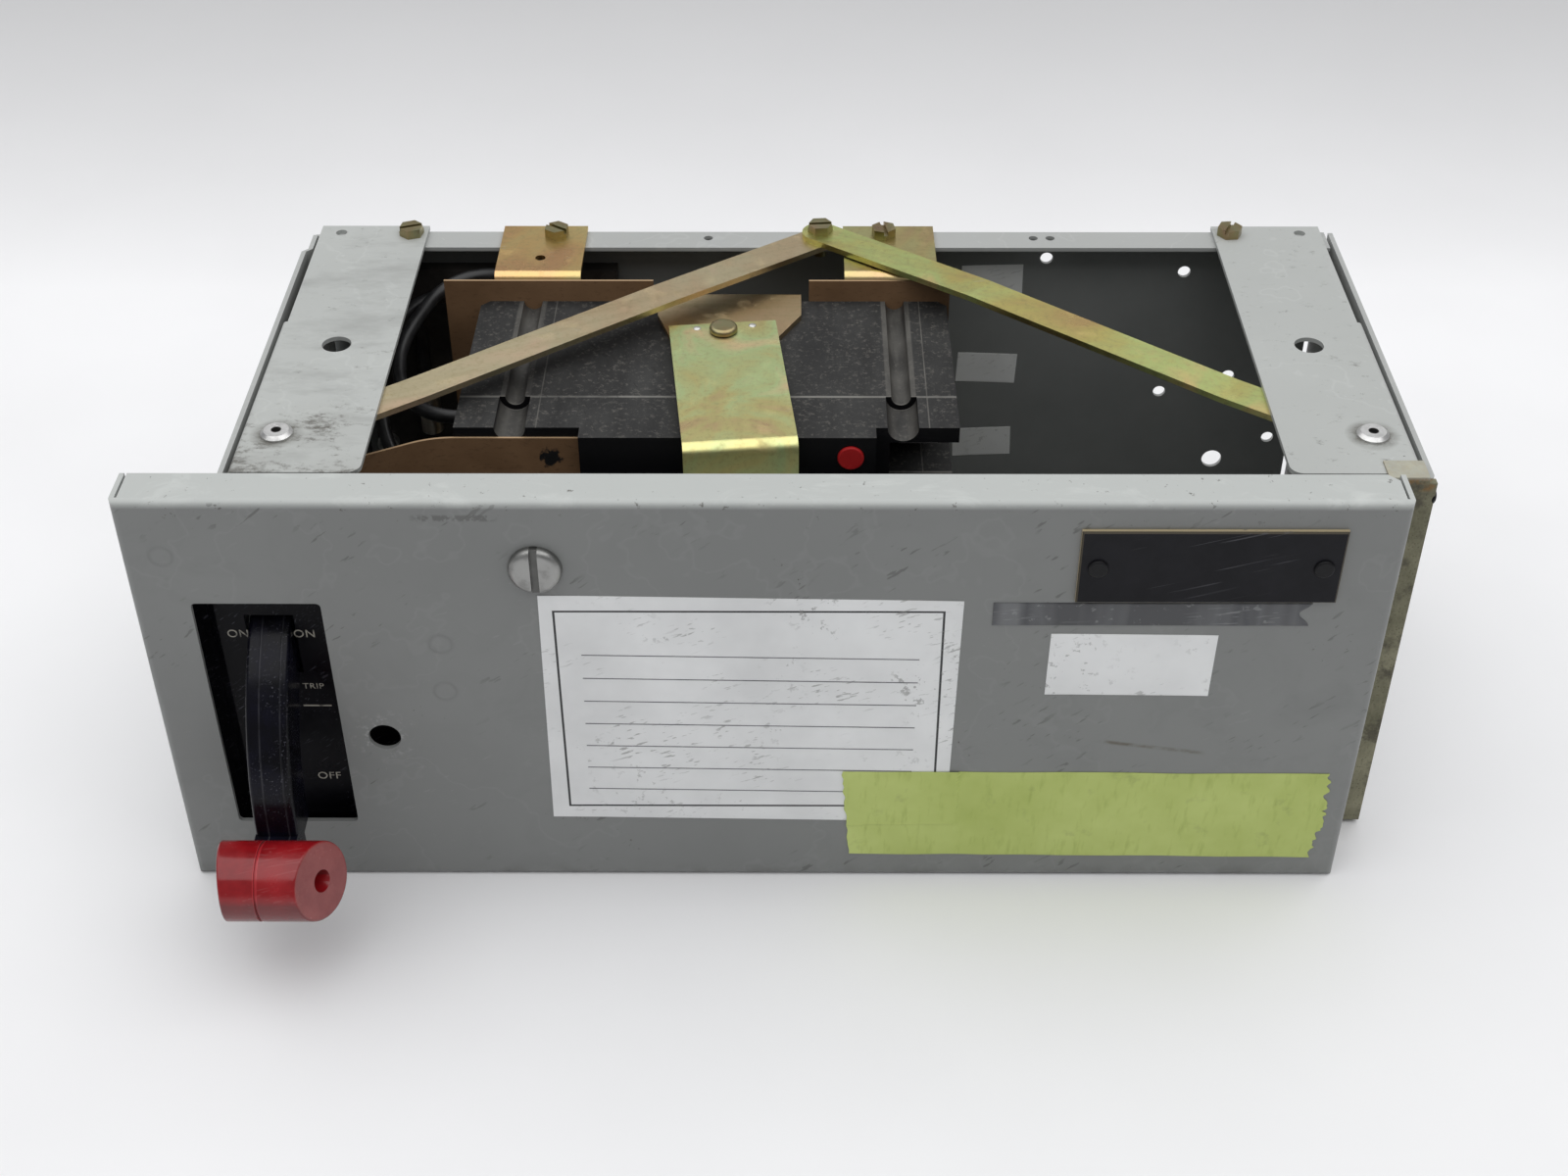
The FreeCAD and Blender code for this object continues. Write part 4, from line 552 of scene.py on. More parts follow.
def breaker_case():
    """Black moulded case: fine grain, grey dust on what faces up, and a line beside each channel."""
    case = Finish("breaker_case", (0.010, 0.010, 0.011), 0.0, 0.42, Specular_IOR_Level=0.18)
    up = case.ramp(case.normal("Z"), 0.5, 0.9)
    film = case.mottle(38.0, 5.0, 0.62)
    wipes = case.mottle(120.0, 4.0, 0.65, size=(1, 0.14, 1), shift=(0.3, 0.6, 0.0))
    dust = case.both(up, case.ramp(film, 0.30, 0.70, 0.45, 1.0), case.ramp(wipes, 0.34, 0.62, 0.55, 1.0))
    shade = case.paint((0.004, 0.004, 0.005), (0.045, 0.045, 0.044), dust)
    seam = case.both(up, case.near("Y", BREAKER_SEAM, 0.35, 0.35))
    shade = case.paint(shade, (0.20, 0.195, 0.18), case.both(seam, case.ramp(film, 0.35, 0.6, 0.3, 0.9)))
    flecks = case.both(up, case.ramp(case.mottle(640.0, 4.0, 0.75, shift=(0.2, 0.1, 0.5)), 0.54, 0.68))
    shade = case.paint(shade, (0.16, 0.15, 0.135), flecks, 0.5)
    wiped = case.both(up, case.scratches((1.4, 0.3, 0.4), 0.58, 60.0))
    shade = case.paint(shade, (0.022, 0.022, 0.022), wiped, 0.8)
    lines = case.either(*[case.near("X", channel + MODULE_LINE, 0.16, 0.12) for channel in CHANNELS])
    lines = case.both(lines, up)
    for channel in CHANNELS:
        hollow = case.both(
            case.near("X", channel, CHANNEL_HALF, 0.4),
            case.between("Z", CHANNEL_MOUTH),
            case.ramp(case.normal("Y"), -0.5, -0.2),
            case.ramp(film, 0.3, 0.62, 0.45, 1.0),
            case.ramp(wipes, 0.36, 0.60, 0.25, 0.8),
        )
        shade = case.paint(shade, (0.115, 0.11, 0.10), hollow)
    dusty_lines = case.both(lines, case.ramp(film, 0.35, 0.6, 0.3, 0.8))
    shade = case.paint(shade, (0.13, 0.125, 0.115), dusty_lines)
    case.colour(shade)
    case.rough(case.ramp(dust, 0.0, 1.0, 0.36, 0.78))
    grain = case.mottle(1500.0, 2.0, 0.6)
    case.relief((grain, 0.12, 0.04), (case.sum("SUBTRACT", 1.0, lines), 0.5, 0.2))
    return case.material


def fibre_sheet():
    """Brown vulcanised fibre: soft fleck, wavy tone, paler cut edges and one ink blot."""
    sheet = Finish("brown_fibre", (0.20, 0.115, 0.058), 0.0, 0.62, Specular_IOR_Level=0.3)
    tone = sheet.mottle(28.0, 4.0, 0.6)
    shade = sheet.paint((0.135, 0.074, 0.036), (0.235, 0.138, 0.072), sheet.ramp(tone, 0.3, 0.7))
    fleck = sheet.mottle(800.0, 3.0, 0.7, size=(0.4, 1, 1))
    shade = sheet.paint(shade, (0.09, 0.05, 0.025), sheet.ramp(fleck, 0.56, 0.72, 0.0, 0.6))
    cut_edge = sheet.ramp(sheet.sum("ABSOLUTE", sheet.normal("Z")), 0.6, 0.9)
    shade = sheet.paint(shade, (0.42, 0.29, 0.17), cut_edge, 0.85)
    blot = sheet.around(INK_BLOT, (1, 0, 1))
    uneven = sheet.ramp(sheet.mottle(420.0, 3.0, 0.6), 0.3, 0.7, -INK_RAGGED * MM, INK_RAGGED * MM)
    ragged = sheet.sum_free("ADD", blot, uneven)
    inked = sheet.both(sheet.between("Y", FIBRE_FRONT), sheet.within(ragged, INK_REACH))
    shade = sheet.paint(shade, (0.006, 0.006, 0.007), inked)
    sheet.colour(shade)
    sheet.rough(sheet.ramp(fleck, 0.3, 0.7, 0.5, 0.72))
    sheet.relief((fleck, 0.12, 0.05), (tone, 0.15, 0.3))
    return sheet.material


def black_handle(name, haze_top, rough_low, rough_high, shine, seams=()):
    """Black moulding with hazy rubbing, pale hairline scratches and moulding seams where it has them."""
    moulding = Finish(name, (0.008, 0.008, 0.010), 0.0, rough_low, Specular_IOR_Level=shine)
    haze = moulding.mottle(60.0, 4.0, 0.6)
    hairs = moulding.either(
        moulding.scratches((0.2, 0.9, 0.1), 0.58, 110.0),
        moulding.scratches((0.9, 0.1, 0.7), 0.59, 130.0, (0.2, 0.7, 0.3)),
    )
    shade = moulding.paint((0.0025, 0.0025, 0.004), haze_top, moulding.ramp(haze, 0.42, 0.70))
    shade = moulding.paint(shade, (0.15, 0.15, 0.18), hairs, 0.38)
    bumps = [(hairs, 0.15, 0.05), (moulding.mottle(220.0, 2.0), 0.05, 0.2)]
    for x in seams:
        seam = moulding.near("X", x, 0.16, 0.16)
        hazy = moulding.both(seam, moulding.ramp(haze, 0.40, 0.62, 0.1, 0.8))
        shade = moulding.paint(shade, (0.045, 0.045, 0.052), hazy)
        bumps.append((seam, 0.5, 0.25))
    moulding.colour(shade)
    moulding.rough(moulding.ramp(haze, 0.35, 0.7, rough_low, rough_high))
    moulding.relief(*bumps)
    return moulding.material


def grip_plastic():
    """Deep red dipped grip: slight mottle, rubbed marks, painted light in its groove, painted shade on its
    lower half, and pale dust with a painted reflection on its end.
    """
    grip = Finish("red_grip", (0.33, 0.012, 0.016), 0.0, 0.30, Specular_IOR_Level=0.5)
    tone = grip.mottle(90.0, 4.0, 0.6)
    shade = grip.paint((0.20, 0.005, 0.008), (0.32, 0.009, 0.013), grip.ramp(tone, 0.3, 0.7))
    scuff = grip.either(
        grip.scratches((0.1, 1.45, 0.3), 0.57, 120.0),
        grip.ramp(grip.mottle(500.0, 3.0, 0.6, shift=(0.5, 0.2, 0.6)), 0.68, 0.72),
    )
    shade = grip.paint(shade, (0.40, 0.10, 0.10), scuff, 0.25)
    # Painted light: the groove is a brighter red than the grip, lifting the shade in it.
    groove = grip.near("X", GRIP_GROOVE, 0.45, 0.25)
    shade = grip.paint(shade, (0.55, 0.035, 0.045), groove)
    # Painted shade: the lower half, which faces away from the light above, is darker.
    dull_and_shaded = grip.ramp(grip.normal("Z"), 0.30, 0.12)
    shade = grip.paint(shade, (0.09, 0.022, 0.023), dull_and_shaded, 0.60)
    # Pale pink on the end that faces along X: dust, and a painted reflection of the floor.
    end_dust_and_reflection = grip.both(grip.ramp(grip.normal("X"), 0.5, 0.85), grip.ramp(tone, 0.3, 0.62, 0.35, 0.8))
    shade = grip.paint(shade, (0.36, 0.15, 0.14), end_dust_and_reflection, 0.55)
    grip.colour(shade)
    grip.rough(grip.ramp(tone, 0.35, 0.7, 0.14, 0.30))
    grip.relief((grip.mottle(700.0, 2.0), 0.05, 0.06), (scuff, 0.1, 0.05))
    return grip.material


def laminate():
    """Engraving laminate: dull black skin over a pale core that shows at the cut edges."""
    plate = Finish("black_laminate", (0.012, 0.012, 0.014), 0.0, 0.36, Specular_IOR_Level=0.15)
    haze = plate.mottle(70.0, 4.0, 0.6)
    shade = plate.paint((0.006, 0.006, 0.008), (0.011, 0.011, 0.014), plate.ramp(haze, 0.4, 0.7))
    side = plate.ramp(plate.sum("ABSOLUTE", plate.normal("Y")), 0.75, 0.45)
    shade = plate.paint(shade, (0.42, 0.35, 0.22), side)
    hairs = plate.scratches((0.2, 1.3, 0.2), 0.58, 90.0)
    shade = plate.paint(shade, (0.10, 0.10, 0.11), hairs, 0.5)
    plate.colour(shade)
    plate.rough(plate.ramp(haze, 0.35, 0.7, 0.28, 0.45))
    plate.relief((plate.mottle(1200.0, 2.0), 0.05, 0.04))
    return plate.material


def gasket_foam():
    """Aged olive sponge strip: open cells, yellowed and dirty patches."""
    foam = Finish("olive_gasket", (0.24, 0.225, 0.13), 0.0, 0.85, Specular_IOR_Level=0.2)
    tone = foam.mottle(45.0, 5.0, 0.65)
    shade = foam.paint((0.14, 0.137, 0.09), (0.33, 0.315, 0.22), foam.ramp(tone, 0.3, 0.7))
    pores = foam.cells(900.0)
    shade = foam.paint(shade, (0.09, 0.085, 0.05), foam.ramp(pores, 0.28, 0.08, 0.0, 0.7))
    grime = foam.ramp(foam.mottle(120.0, 4.0, 0.65, shift=(0.4, 0.3, 0.2)), 0.52, 0.66)
    shade = foam.paint(shade, GRIME, grime, 0.7)
    folded = foam.between("Z", GASKET_FOLD)
    film = foam.paint((0.36, 0.36, 0.31), (0.46, 0.44, 0.33), foam.ramp(tone, 0.35, 0.65))
    shade = foam.paint(shade, film, folded)
    rust = foam.both(
        foam.near("Z", GASKET_RUST, 1.6, 1.2),
        foam.ramp(foam.mottle(260.0, 4.0, 0.7, shift=(0.2, 0.6, 0.1)), 0.44, 0.58),
    )
    foam.colour(foam.paint(shade, (0.26, 0.15, 0.06), rust, 0.7))
    foam.relief((pores, 0.4, 0.3), (tone, 0.3, 0.6))
    return foam.material


def plain_plastic(name, low, high, rough_low, rough_high, scale=80.0, shine=0.45):
    """Moulded or extruded plastic with a faint mottle and fine grain."""
    plastic = Finish(name, low, 0.0, rough_low, Specular_IOR_Level=shine)
    tone = plastic.mottle(scale, 4.0, 0.6)
    marks = plastic.scratches((0.4, 0.9, 0.3), 0.60, 90.0)
    shade = plastic.paint(low, high, plastic.ramp(tone, 0.35, 0.7))
    plastic.colour(plastic.paint(shade, times(high, 2.2), marks, 0.4))
    plastic.rough(plastic.ramp(tone, 0.35, 0.7, rough_low, rough_high))
    plastic.relief((plastic.mottle(1400.0, 2.0), 0.08, 0.04))
    return plastic.material


finishes = {
    "grey_enamel": grey_enamel(),
    # The door's enamel is a darker copy of the grey enamel: painted shade for its upright face, with its top
    # edge painted light again in door_marks.
    "shaded_door_enamel": grey_enamel("shaded_door_enamel", door_marks, (0.210, 0.216, 0.211)),
    "panel_enamel": grey_enamel("panel_enamel", panel_marks),
    "strap_enamel": grey_enamel("strap_enamel", strap_marks, (0.425, 0.439, 0.425)),
    # The tuple of each zinc finish below tints its colour, and where above one brightens it as a painted
    # reflection.
    "yellow_zinc": yellow_zinc(),
    "pivot_zinc": yellow_zinc("pivot_zinc", 0.0, (0.97, 0.95, 0.93), 0.75),
    "bracket_zinc": yellow_zinc("bracket_zinc", 0.0, (1.18, 1.05, 0.80), 0.55, 30.0, 0.20),
    "left_bar_zinc": yellow_zinc("left_bar_zinc", BRACE_SLANT, (1.10, 1.10, 1.20), 0.65, 18.0, 0.30),
    "right_bar_zinc": yellow_zinc("right_bar_zinc", -BRACE_SLANT, (1.18, 1.25, 0.92), 0.16, 24.0, 0.25),
    "yoke_zinc": yellow_zinc("yoke_zinc", math.radians(90), (1.15, 1.26, 1.18), 0.12, 34.0, 0.10),
    "screw_zinc": yellow_zinc("screw_zinc", 0.0, (0.55, 0.55, 0.55), 0.4, 60.0),
    "rivet_aluminium": zinc("rivet_aluminium", (0.70, 0.70, 0.69), 0.32, 0.5, POP_RIVETS),
    "clear_zinc": zinc("clear_zinc", (0.62, 0.62, 0.60), 0.34, 0.55),
    "latch_steel": zinc("latch_steel", (0.32, 0.32, 0.31), 0.30, 0.55, (), LATCH_SLOT),
    "lug_aluminium": zinc("lug_aluminium", (0.66, 0.66, 0.65), 0.38, 0.55),
    "stab_copper": zinc("stab_copper", (0.66, 0.60, 0.52), 0.28, 0.45),
    "black_handle": black_handle("black_handle", (0.006, 0.006, 0.008), 0.26, 0.42, 0.09),
    "lever_moulding": black_handle("lever_moulding", (0.005, 0.005, 0.014), 0.14, 0.30, 0.17, LEVER_SEAMS),
    "black_laminate": laminate(),
    "black_rivet": plain_plastic(
        "black_rivet", (0.004, 0.004, 0.005), (0.009, 0.009, 0.010), 0.34, 0.5, 200.0, 0.2
    ),
    "red_grip": grip_plastic(),
    "red_button": plain_plastic(
        "red_button", (0.32, 0.008, 0.010), (0.42, 0.014, 0.015), 0.40, 0.55, 80.0, 0.25
    ),
    "breaker_case": breaker_case(),
    "brown_fibre": fibre_sheet(),
    "olive_gasket": gasket_foam(),
    "wire_jacket": plain_plastic(
        "wire_jacket", (0.010, 0.010, 0.011), (0.024, 0.024, 0.025), 0.34, 0.5, 150.0
    ),
    "stab_moulding": plain_plastic(
        "stab_moulding", (0.020, 0.018, 0.016), (0.045, 0.040, 0.036), 0.42, 0.6
    ),
}

# Nodes whose finish differs from the one that their slot names
own_finish = {
    "door_panel": "shaded_door_enamel",
    "rear_panel": "panel_enamel",
    "left_top_strap": "strap_enamel",
    "right_top_strap": "strap_enamel",
    "left_brace_bar": "left_bar_zinc",
    "right_brace_bar": "right_bar_zinc",
    "breaker_yoke": "yoke_zinc",
    "nameplate_rivets": "black_rivet",
    "handle_lever": "lever_moulding",
    "yoke_pivot_bracket": "pivot_zinc",
    "left_breaker_bracket": "bracket_zinc",
    "latch_stud": "latch_steel",
    "top_hex_screws": "screw_zinc",
    "yoke_pivot_rivet": "screw_zinc",
}


def dress_nodes():
    """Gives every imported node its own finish, or the one its slot names."""
    for part in frame["record"]["subparts"]:
        node = nodes[part["node"]]
        finish = own_finish.get(part["node"], part["material_slot"])
        node.data.materials.clear()
        node.data.materials.append(finishes[finish])
        for face in node.data.polygons:
            face.material_index = 0


dress_nodes()


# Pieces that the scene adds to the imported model
def keep(mesh, name, material, body, slot):
    """Makes a mesh with its place in its vertices a piece that rides on a body."""
    piece = bpy.data.objects.new(name, mesh)
    mesh.materials.clear()
    mesh.materials.append(material)
    bpy.context.scene.collection.objects.link(piece)
    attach(piece, body)


def sheet_grid(name, columns, rows, thick, shape):
    """A thin closed sheet along X and Z: shape(u, v) gives a point of its front in millimetres."""
    mesh = bmesh.new()
    front = []
    back = []
    for row in range(rows + 1):
        for column in range(columns + 1):
            x, y, z = shape(column / columns, row / rows)
            front.append(mesh.verts.new(Vector((x, y, z)) * MM))
            back.append(mesh.verts.new(Vector((x, y + thick, z)) * MM))

    def corner(row, column):
        return row * (columns + 1) + column

    for row in range(rows):
        for column in range(columns):
            steps = ((0, 0), (0, 1), (1, 1), (1, 0))
            ring = [corner(row + up, column + across) for up, across in steps]
            mesh.faces.new([front[at] for at in ring])
            mesh.faces.new([back[at] for at in reversed(ring)])
    border = [corner(0, column) for column in range(columns)]
    border += [corner(row, columns) for row in range(rows)]
    border += [corner(rows, column) for column in range(columns, 0, -1)]
    border += [corner(row, 0) for row in range(rows, 0, -1)]
    for here, there in zip(border, border[1:] + border[:1]):
        mesh.faces.new([front[here], back[here], back[there], front[there]])
    bmesh.ops.recalc_face_normals(mesh, faces=mesh.faces)
    data = bpy.data.meshes.new(name)
    mesh.to_mesh(data)
    mesh.free()
    return data


def label(name, box, proud, finish, tilt=0.0, curl=0.0, torn=0.0, face=DOOR_FACE, rides=DOOR_LABEL):
    """A label stuck on a face, with lifted corners, a slight tilt, and a torn right end where it has one."""
    left, right, bottom, top = box
    middle_x = (left + right) / 2
    middle_z = (bottom + top) / 2
    angle = math.radians(tilt)

    def shape(u, v):
        x = (u - 0.5) * (right - left)
        z = (v - 0.5) * (top - bottom)
        ragged = 0.6 + noise.noise(Vector((1.7, v * 2.3, 0.6)))
        x -= torn * ragged * max(0.0, u - TEAR_START) / (1 - TEAR_START)
        edge = max(abs(2 * u - 1), abs(2 * v - 1))
        to_corner = abs(2 * u - 1) * abs(2 * v - 1)
        lift = curl * max(0.0, to_corner - CURL_START) / (1 - CURL_START)
        ripple = 0.02 * noise.noise(Vector((x * 0.08, z * 0.08, middle_x)))
        crown = proud * (1.0 - 0.35 * max(0.0, edge - RIM_START) / (1 - RIM_START))
        turned_x = x * math.cos(angle) - z * math.sin(angle)
        turned_z = x * math.sin(angle) + z * math.cos(angle)
        return middle_x + turned_x, face - crown - lift - ripple, middle_z + turned_z

    keep(sheet_grid(name, *LABEL_CELLS, proud * 0.9, shape), name, finish, *rides)


def card_finish(name, paper, wear, frame_box=None):
    """Printed vinyl card: slightly dirty, scuffed through in places, with a ruled frame where it has one."""
    card = Finish(name, paper, 0.0, 0.38, Specular_IOR_Level=0.45)
    tone = card.mottle(26.0, 4.0, 0.6)
    shade = card.paint(times(paper, 0.86), paper, card.ramp(tone, 0.3, 0.62))
    if frame_box is not None:
        left, right, bottom, top = frame_box

        def filled(grow):
            return card.both(
                card.near("X", (left + right) / 2, (right - left) / 2 + grow, 0.05),
                card.near("Z", (bottom + top) / 2, (top - bottom) / 2 + grow, 0.05),
            )

        outline = card.sum("SUBTRACT", filled(FRAME_LINE / 2), filled(-FRAME_LINE / 2))
        shade = card.paint(shade, CARD_INK, outline)
    scuffs = card.either(
        card.scratches((0.3, 1.2, 0.1), 0.575, 80.0),
        card.both(
            card.ramp(card.mottle(330.0, 4.0, 0.65, shift=(0.2, 0, 0.6)), 0.60, 0.64),
            card.ramp(card.mottle(30.0, 2.0, 0.5, shift=(0.8, 0, 0.1)), 0.52, 0.62),
        ),
    )
    shade = card.paint(shade, (0.20, 0.20, 0.19), scuffs, wear)
    card.colour(shade)
    card.rough(card.ramp(tone, 0.3, 0.7, 0.30, 0.46))
    card.relief((card.mottle(900.0, 2.0), 0.05, 0.04), (scuffs, 0.15, 0.05))
    return card.material


def embossing_tape():
    """Old embossing tape: dark vinyl, faded and rubbed in blocks along its length."""
    tape = Finish("embossing_tape", (0.045, 0.047, 0.05), 0.0, 0.40, Specular_IOR_Level=0.45)
    blocks = tape.mottle(55.0, 3.0, 0.5, size=(1, 0.1, 0.1))
    shade = tape.tints(
        blocks,
        (0.38, (0.060, 0.061, 0.066)),
        (0.48, (0.105, 0.108, 0.114)),
        (0.56, (0.065, 0.067, 0.073)),
        (0.66, (0.150, 0.154, 0.160)),
    )
    rub = tape.either(
        tape.scratches((0.2, 1.45, 0.1), 0.56, 90.0),
        tape.ramp(tape.mottle(300.0, 4.0, 0.65, shift=(0.3, 0.2, 0.8)), 0.62, 0.66),
    )
    tape.colour(tape.paint(shade, (0.30, 0.31, 0.31), rub, 0.4))
    tape.rough(tape.ramp(blocks, 0.3, 0.7, 0.32, 0.52))
    tape.relief((tape.mottle(600.0, 3.0), 0.08, 0.05))
    return tape.material


def masking_tape():
    """Yellow-green crepe tape: fine cross wrinkles, broad creases and a little soil."""
    tape = Finish("masking_tape", (0.46, 0.54, 0.15), 0.0, 0.60, Specular_IOR_Level=0.3)
    crepe = tape.mottle(420.0, 3.0, 0.6, size=(1.0, 1.0, 0.22), turn=(0, 0.04, 0))
    broad = tape.mottle(32.0, 4.0, 0.6)
    shade = tape.paint((0.42, 0.50, 0.135), (0.54, 0.625, 0.21), tape.ramp(broad, 0.3, 0.7))
    shade = tape.paint(shade, (0.33, 0.40, 0.10), tape.ramp(crepe, 0.55, 0.75, 0.0, 0.55))
    soil = tape.ramp(tape.mottle(110.0, 4.0, 0.6, shift=(0.5, 0.1, 0.3)), 0.62, 0.76)
    tape.colour(tape.paint(shade, (0.24, 0.27, 0.10), soil, 0.4))
    tape.rough(tape.ramp(crepe, 0.3, 0.7, 0.5, 0.7))
    tape.relief((crepe, 0.30, 0.08), (broad, 0.25, 0.4))
    return tape.material


def door_labels():
    left, right, bottom, top = RECORD_CARD
    frame_box = (left + FRAME_INSET, right - FRAME_INSET, bottom + FRAME_FOOT, top - FRAME_INSET)
    card = card_finish("record_card_vinyl", WHITE_VINYL, 0.6, frame_box)
    label("record_card", RECORD_CARD, 0.25, card, RECORD_TILT, 0.15)
    small = card_finish("small_label_vinyl", WHITE_VINYL, 0.5)
    label("small_label", SMALL_LABEL, 0.22, small, -0.6, 0.1)
    label("dark_strip", DARK_STRIP, 0.35, embossing_tape(), 0.0, 0.05, STRIP_TEAR)


def tape_outline(v):
    """How far the tape's torn right end and cut left end stand in, at a share of its height."""
    torn = 2.6 * noise.noise(Vector((0.0, v * 9.0, 3.1))) + 1.3 * noise.noise(Vector((0.0, v * 31.0, 7.7)))
    cut = 0.8 * noise.noise(Vector((4.0, v * 14.0, 1.3)))
    return 4.0 * abs(v - 0.62) + torn, 1.2 + 2.5 * (1 - v) + cut


def door_tape():
    left, right, bottom, top = TAPE

    def shape(u, v):
        torn, cut = tape_outline(v)
        x = left + cut + u * (right - left - torn - cut)
        wander = 0.35 * noise.noise(Vector((x * 0.05, v * 2.0, 0.4)))
        z = bottom + v * (top - bottom) - TAPE_SAG * (u - 0.5) + wander
        over_card = x < RECORD_CARD[1] + TAPE_LIFT and z > RECORD_CARD[2] - TAPE_LIFT
        proud = TAPE_PROUD_ON_CARD if over_card else TAPE_PROUD
        wrinkle = 0.12 * max(0.0, noise.noise(Vector((x * 0.16, z * 0.05, 2.2))))
        return x, DOOR_FACE - proud - wrinkle, z

    mesh = sheet_grid("feeder_tape", *TAPE_CELLS, TAPE_THICK, shape)
    keep(mesh, "feeder_tape", masking_tape(), "door", "olive_gasket")


def panel_tags():
    tag = card_finish("tag_film", TAG_FILM, 0.3)
    for number, (height, tilt) in enumerate(TAG_SPOTS):
        box = (TAG_LEFT, TAG_LEFT + TAG_WIDTH, height - TAG_HEIGHT / 2, height + TAG_HEIGHT / 2)
        name = "panel_tag_" + str(number + 1)
        label(name, box, 0.15, tag, tilt, 0.1, 0.0, REAR_PANEL_FACE, PANEL_LABEL)


def realized(carrier, name):
    """The finished mesh of an object that a curve or a modifier shapes. The object itself is removed."""
    bpy.context.scene.collection.objects.link(carrier)
    bpy.context.view_layer.update()
    finished = carrier.evaluated_get(bpy.context.evaluated_depsgraph_get())
    mesh = bpy.data.meshes.new_from_object(finished)
    bpy.data.objects.remove(carrier)
    mesh.name = name
    return mesh


def ruled_lines_tree():
    """A node tree that lays out evenly spaced thin bars, one below the other."""
    tree = bpy.data.node_groups.new("ruled_lines", "GeometryNodeTree")
    inputs = {}
    for name, kind in (
        ("Geometry", "Geometry"),
        ("Count", "Int"),
        ("Spacing", "Float"),
        ("Length", "Float"),
        ("Thickness", "Float"),
        ("Material", "Material"),
    ):
        socket = tree.interface.new_socket(name, in_out="INPUT", socket_type="NodeSocket" + kind)
        inputs[name] = socket.identifier
    tree.interface.new_socket("Geometry", in_out="OUTPUT", socket_type="NodeSocketGeometry")
    start = tree.nodes.new("NodeGroupInput")
    end = tree.nodes.new("NodeGroupOutput")
    drop = tree.nodes.new("ShaderNodeMath")
    drop.operation = "MULTIPLY"
    drop.inputs[1].default_value = -1.0
    step = tree.nodes.new("ShaderNodeCombineXYZ")
    row = tree.nodes.new("GeometryNodeMeshLine")
    size = tree.nodes.new("ShaderNodeCombineXYZ")
    size.inputs[1].default_value = RULE_DEEP * MM
    bar = tree.nodes.new("GeometryNodeMeshCube")
    spread = tree.nodes.new("GeometryNodeInstanceOnPoints")
    real = tree.nodes.new("GeometryNodeRealizeInstances")
    dress = tree.nodes.new("GeometryNodeSetMaterial")
    link = tree.links.new
    link(start.outputs["Spacing"], drop.inputs[0])
    link(drop.outputs[0], step.inputs[2])
    link(start.outputs["Count"], row.inputs["Count"])
    link(step.outputs[0], row.inputs["Offset"])
    link(start.outputs["Length"], size.inputs[0])
    link(start.outputs["Thickness"], size.inputs[2])
    link(size.outputs[0], bar.inputs["Size"])
    link(row.outputs["Mesh"], spread.inputs["Points"])
    link(bar.outputs["Mesh"], spread.inputs["Instance"])
    link(spread.outputs["Instances"], real.inputs["Geometry"])
    link(real.outputs["Geometry"], dress.inputs["Geometry"])
    link(start.outputs["Material"], dress.inputs["Material"])
    link(dress.outputs["Geometry"], end.inputs[0])
    return tree, inputs


def card_rules():
    """Writing lines of the record card."""
    left, right, bottom, top = RECORD_CARD
    ink = plain_plastic("card_ink", (0.10, 0.10, 0.11), (0.20, 0.20, 0.21), 0.4, 0.55, 160.0)
    tree, inputs = ruled_lines_tree()
    carrier = bpy.data.objects.new("card_rules", bpy.data.meshes.new("card_rules_base"))
    maker = carrier.modifiers.new("rules", "NODES")
    maker.node_group = tree
    maker[inputs["Count"]] = RULE_COUNT
    maker[inputs["Spacing"]] = RULE_SPACING * MM
    maker[inputs["Length"]] = (right - left - 2 * RULE_INSET) * MM
    maker[inputs["Thickness"]] = RULE_THICK * MM
    maker[inputs["Material"]] = ink
    mesh = realized(carrier, "card_rules")
    middle = Vector(((left + right) / 2, DOOR_FACE - RULE_PROUD, (bottom + top) / 2)) * MM
    rise = Matrix.Translation(Vector((0, 0, RULE_SPACING * (RULE_COUNT - 1) / 2 - RULE_DROP)) * MM)
    mesh.transform(Matrix.Translation(middle) @ Matrix.Rotation(-math.radians(RECORD_TILT), 4, "Y") @ rise)
    keep(mesh, "card_rules", ink, "door", "black_laminate")


def dome(name, place, radius, height, axis, material, body, slot):
    """A low round head standing on a surface along an axis."""
    mesh = bmesh.new()
    bmesh.ops.create_uvsphere(mesh, u_segments=24, v_segments=12, radius=1.0)
    size = [radius * MM] * 3
    size["XYZ".index(axis)] = height * MM
    data = bpy.data.meshes.new(name)
    mesh.to_mesh(data)
    mesh.free()
    data.transform(Matrix.Translation(Vector(place) * MM) @ Matrix.Diagonal((*size, 1)))
    for face in data.polygons:
        face.use_smooth = True
    keep(data, name, material, body, slot)


def small_heads():
    """Spot welds beside the yoke's pivot, and the clip at the gasket's upper corner."""
    turn = math.radians(YOKE_REST)
    bright = finishes["clear_zinc"]
    for number, (across, behind) in enumerate(YOKE_WELDS):
        x = YOKE_PIVOT[0] + across * math.cos(turn) - behind * math.sin(turn)
        y = YOKE_PIVOT[1] + across * math.sin(turn) + behind * math.cos(turn)
        name = "yoke_weld_" + str(number + 1)
        place = (x, y, YOKE_TOP)
        dome(name, place, YOKE_WELD_RADIUS, YOKE_WELD_HEIGHT, "Z", bright, "yoke", "yellow_zinc")
    dome(
        "gasket_clip",
        GASKET_CLIP,
        GASKET_CLIP_RADIUS,
        GASKET_CLIP_HEIGHT,
        "X",
        finishes["black_rivet"],
        "chassis",
        "black_laminate",
    )


door_labels()
card_rules()
door_tape()
panel_tags()
small_heads()


# Lettering of the switch: the plain words of its three positions
def lettering_finish():
    """Pale paint, worn off in places."""
    paint = Finish("switch_lettering", LETTER_TONE, 0.0, 0.5)
    worn = paint.mottle(420.0, 4.0, 0.65)
    paint.colour(paint.paint(LETTER_TONE, (0.08, 0.076, 0.068), paint.ramp(worn, 0.52, 0.66)))
    paint.relief((worn, 0.1, 0.03))
    return paint.material


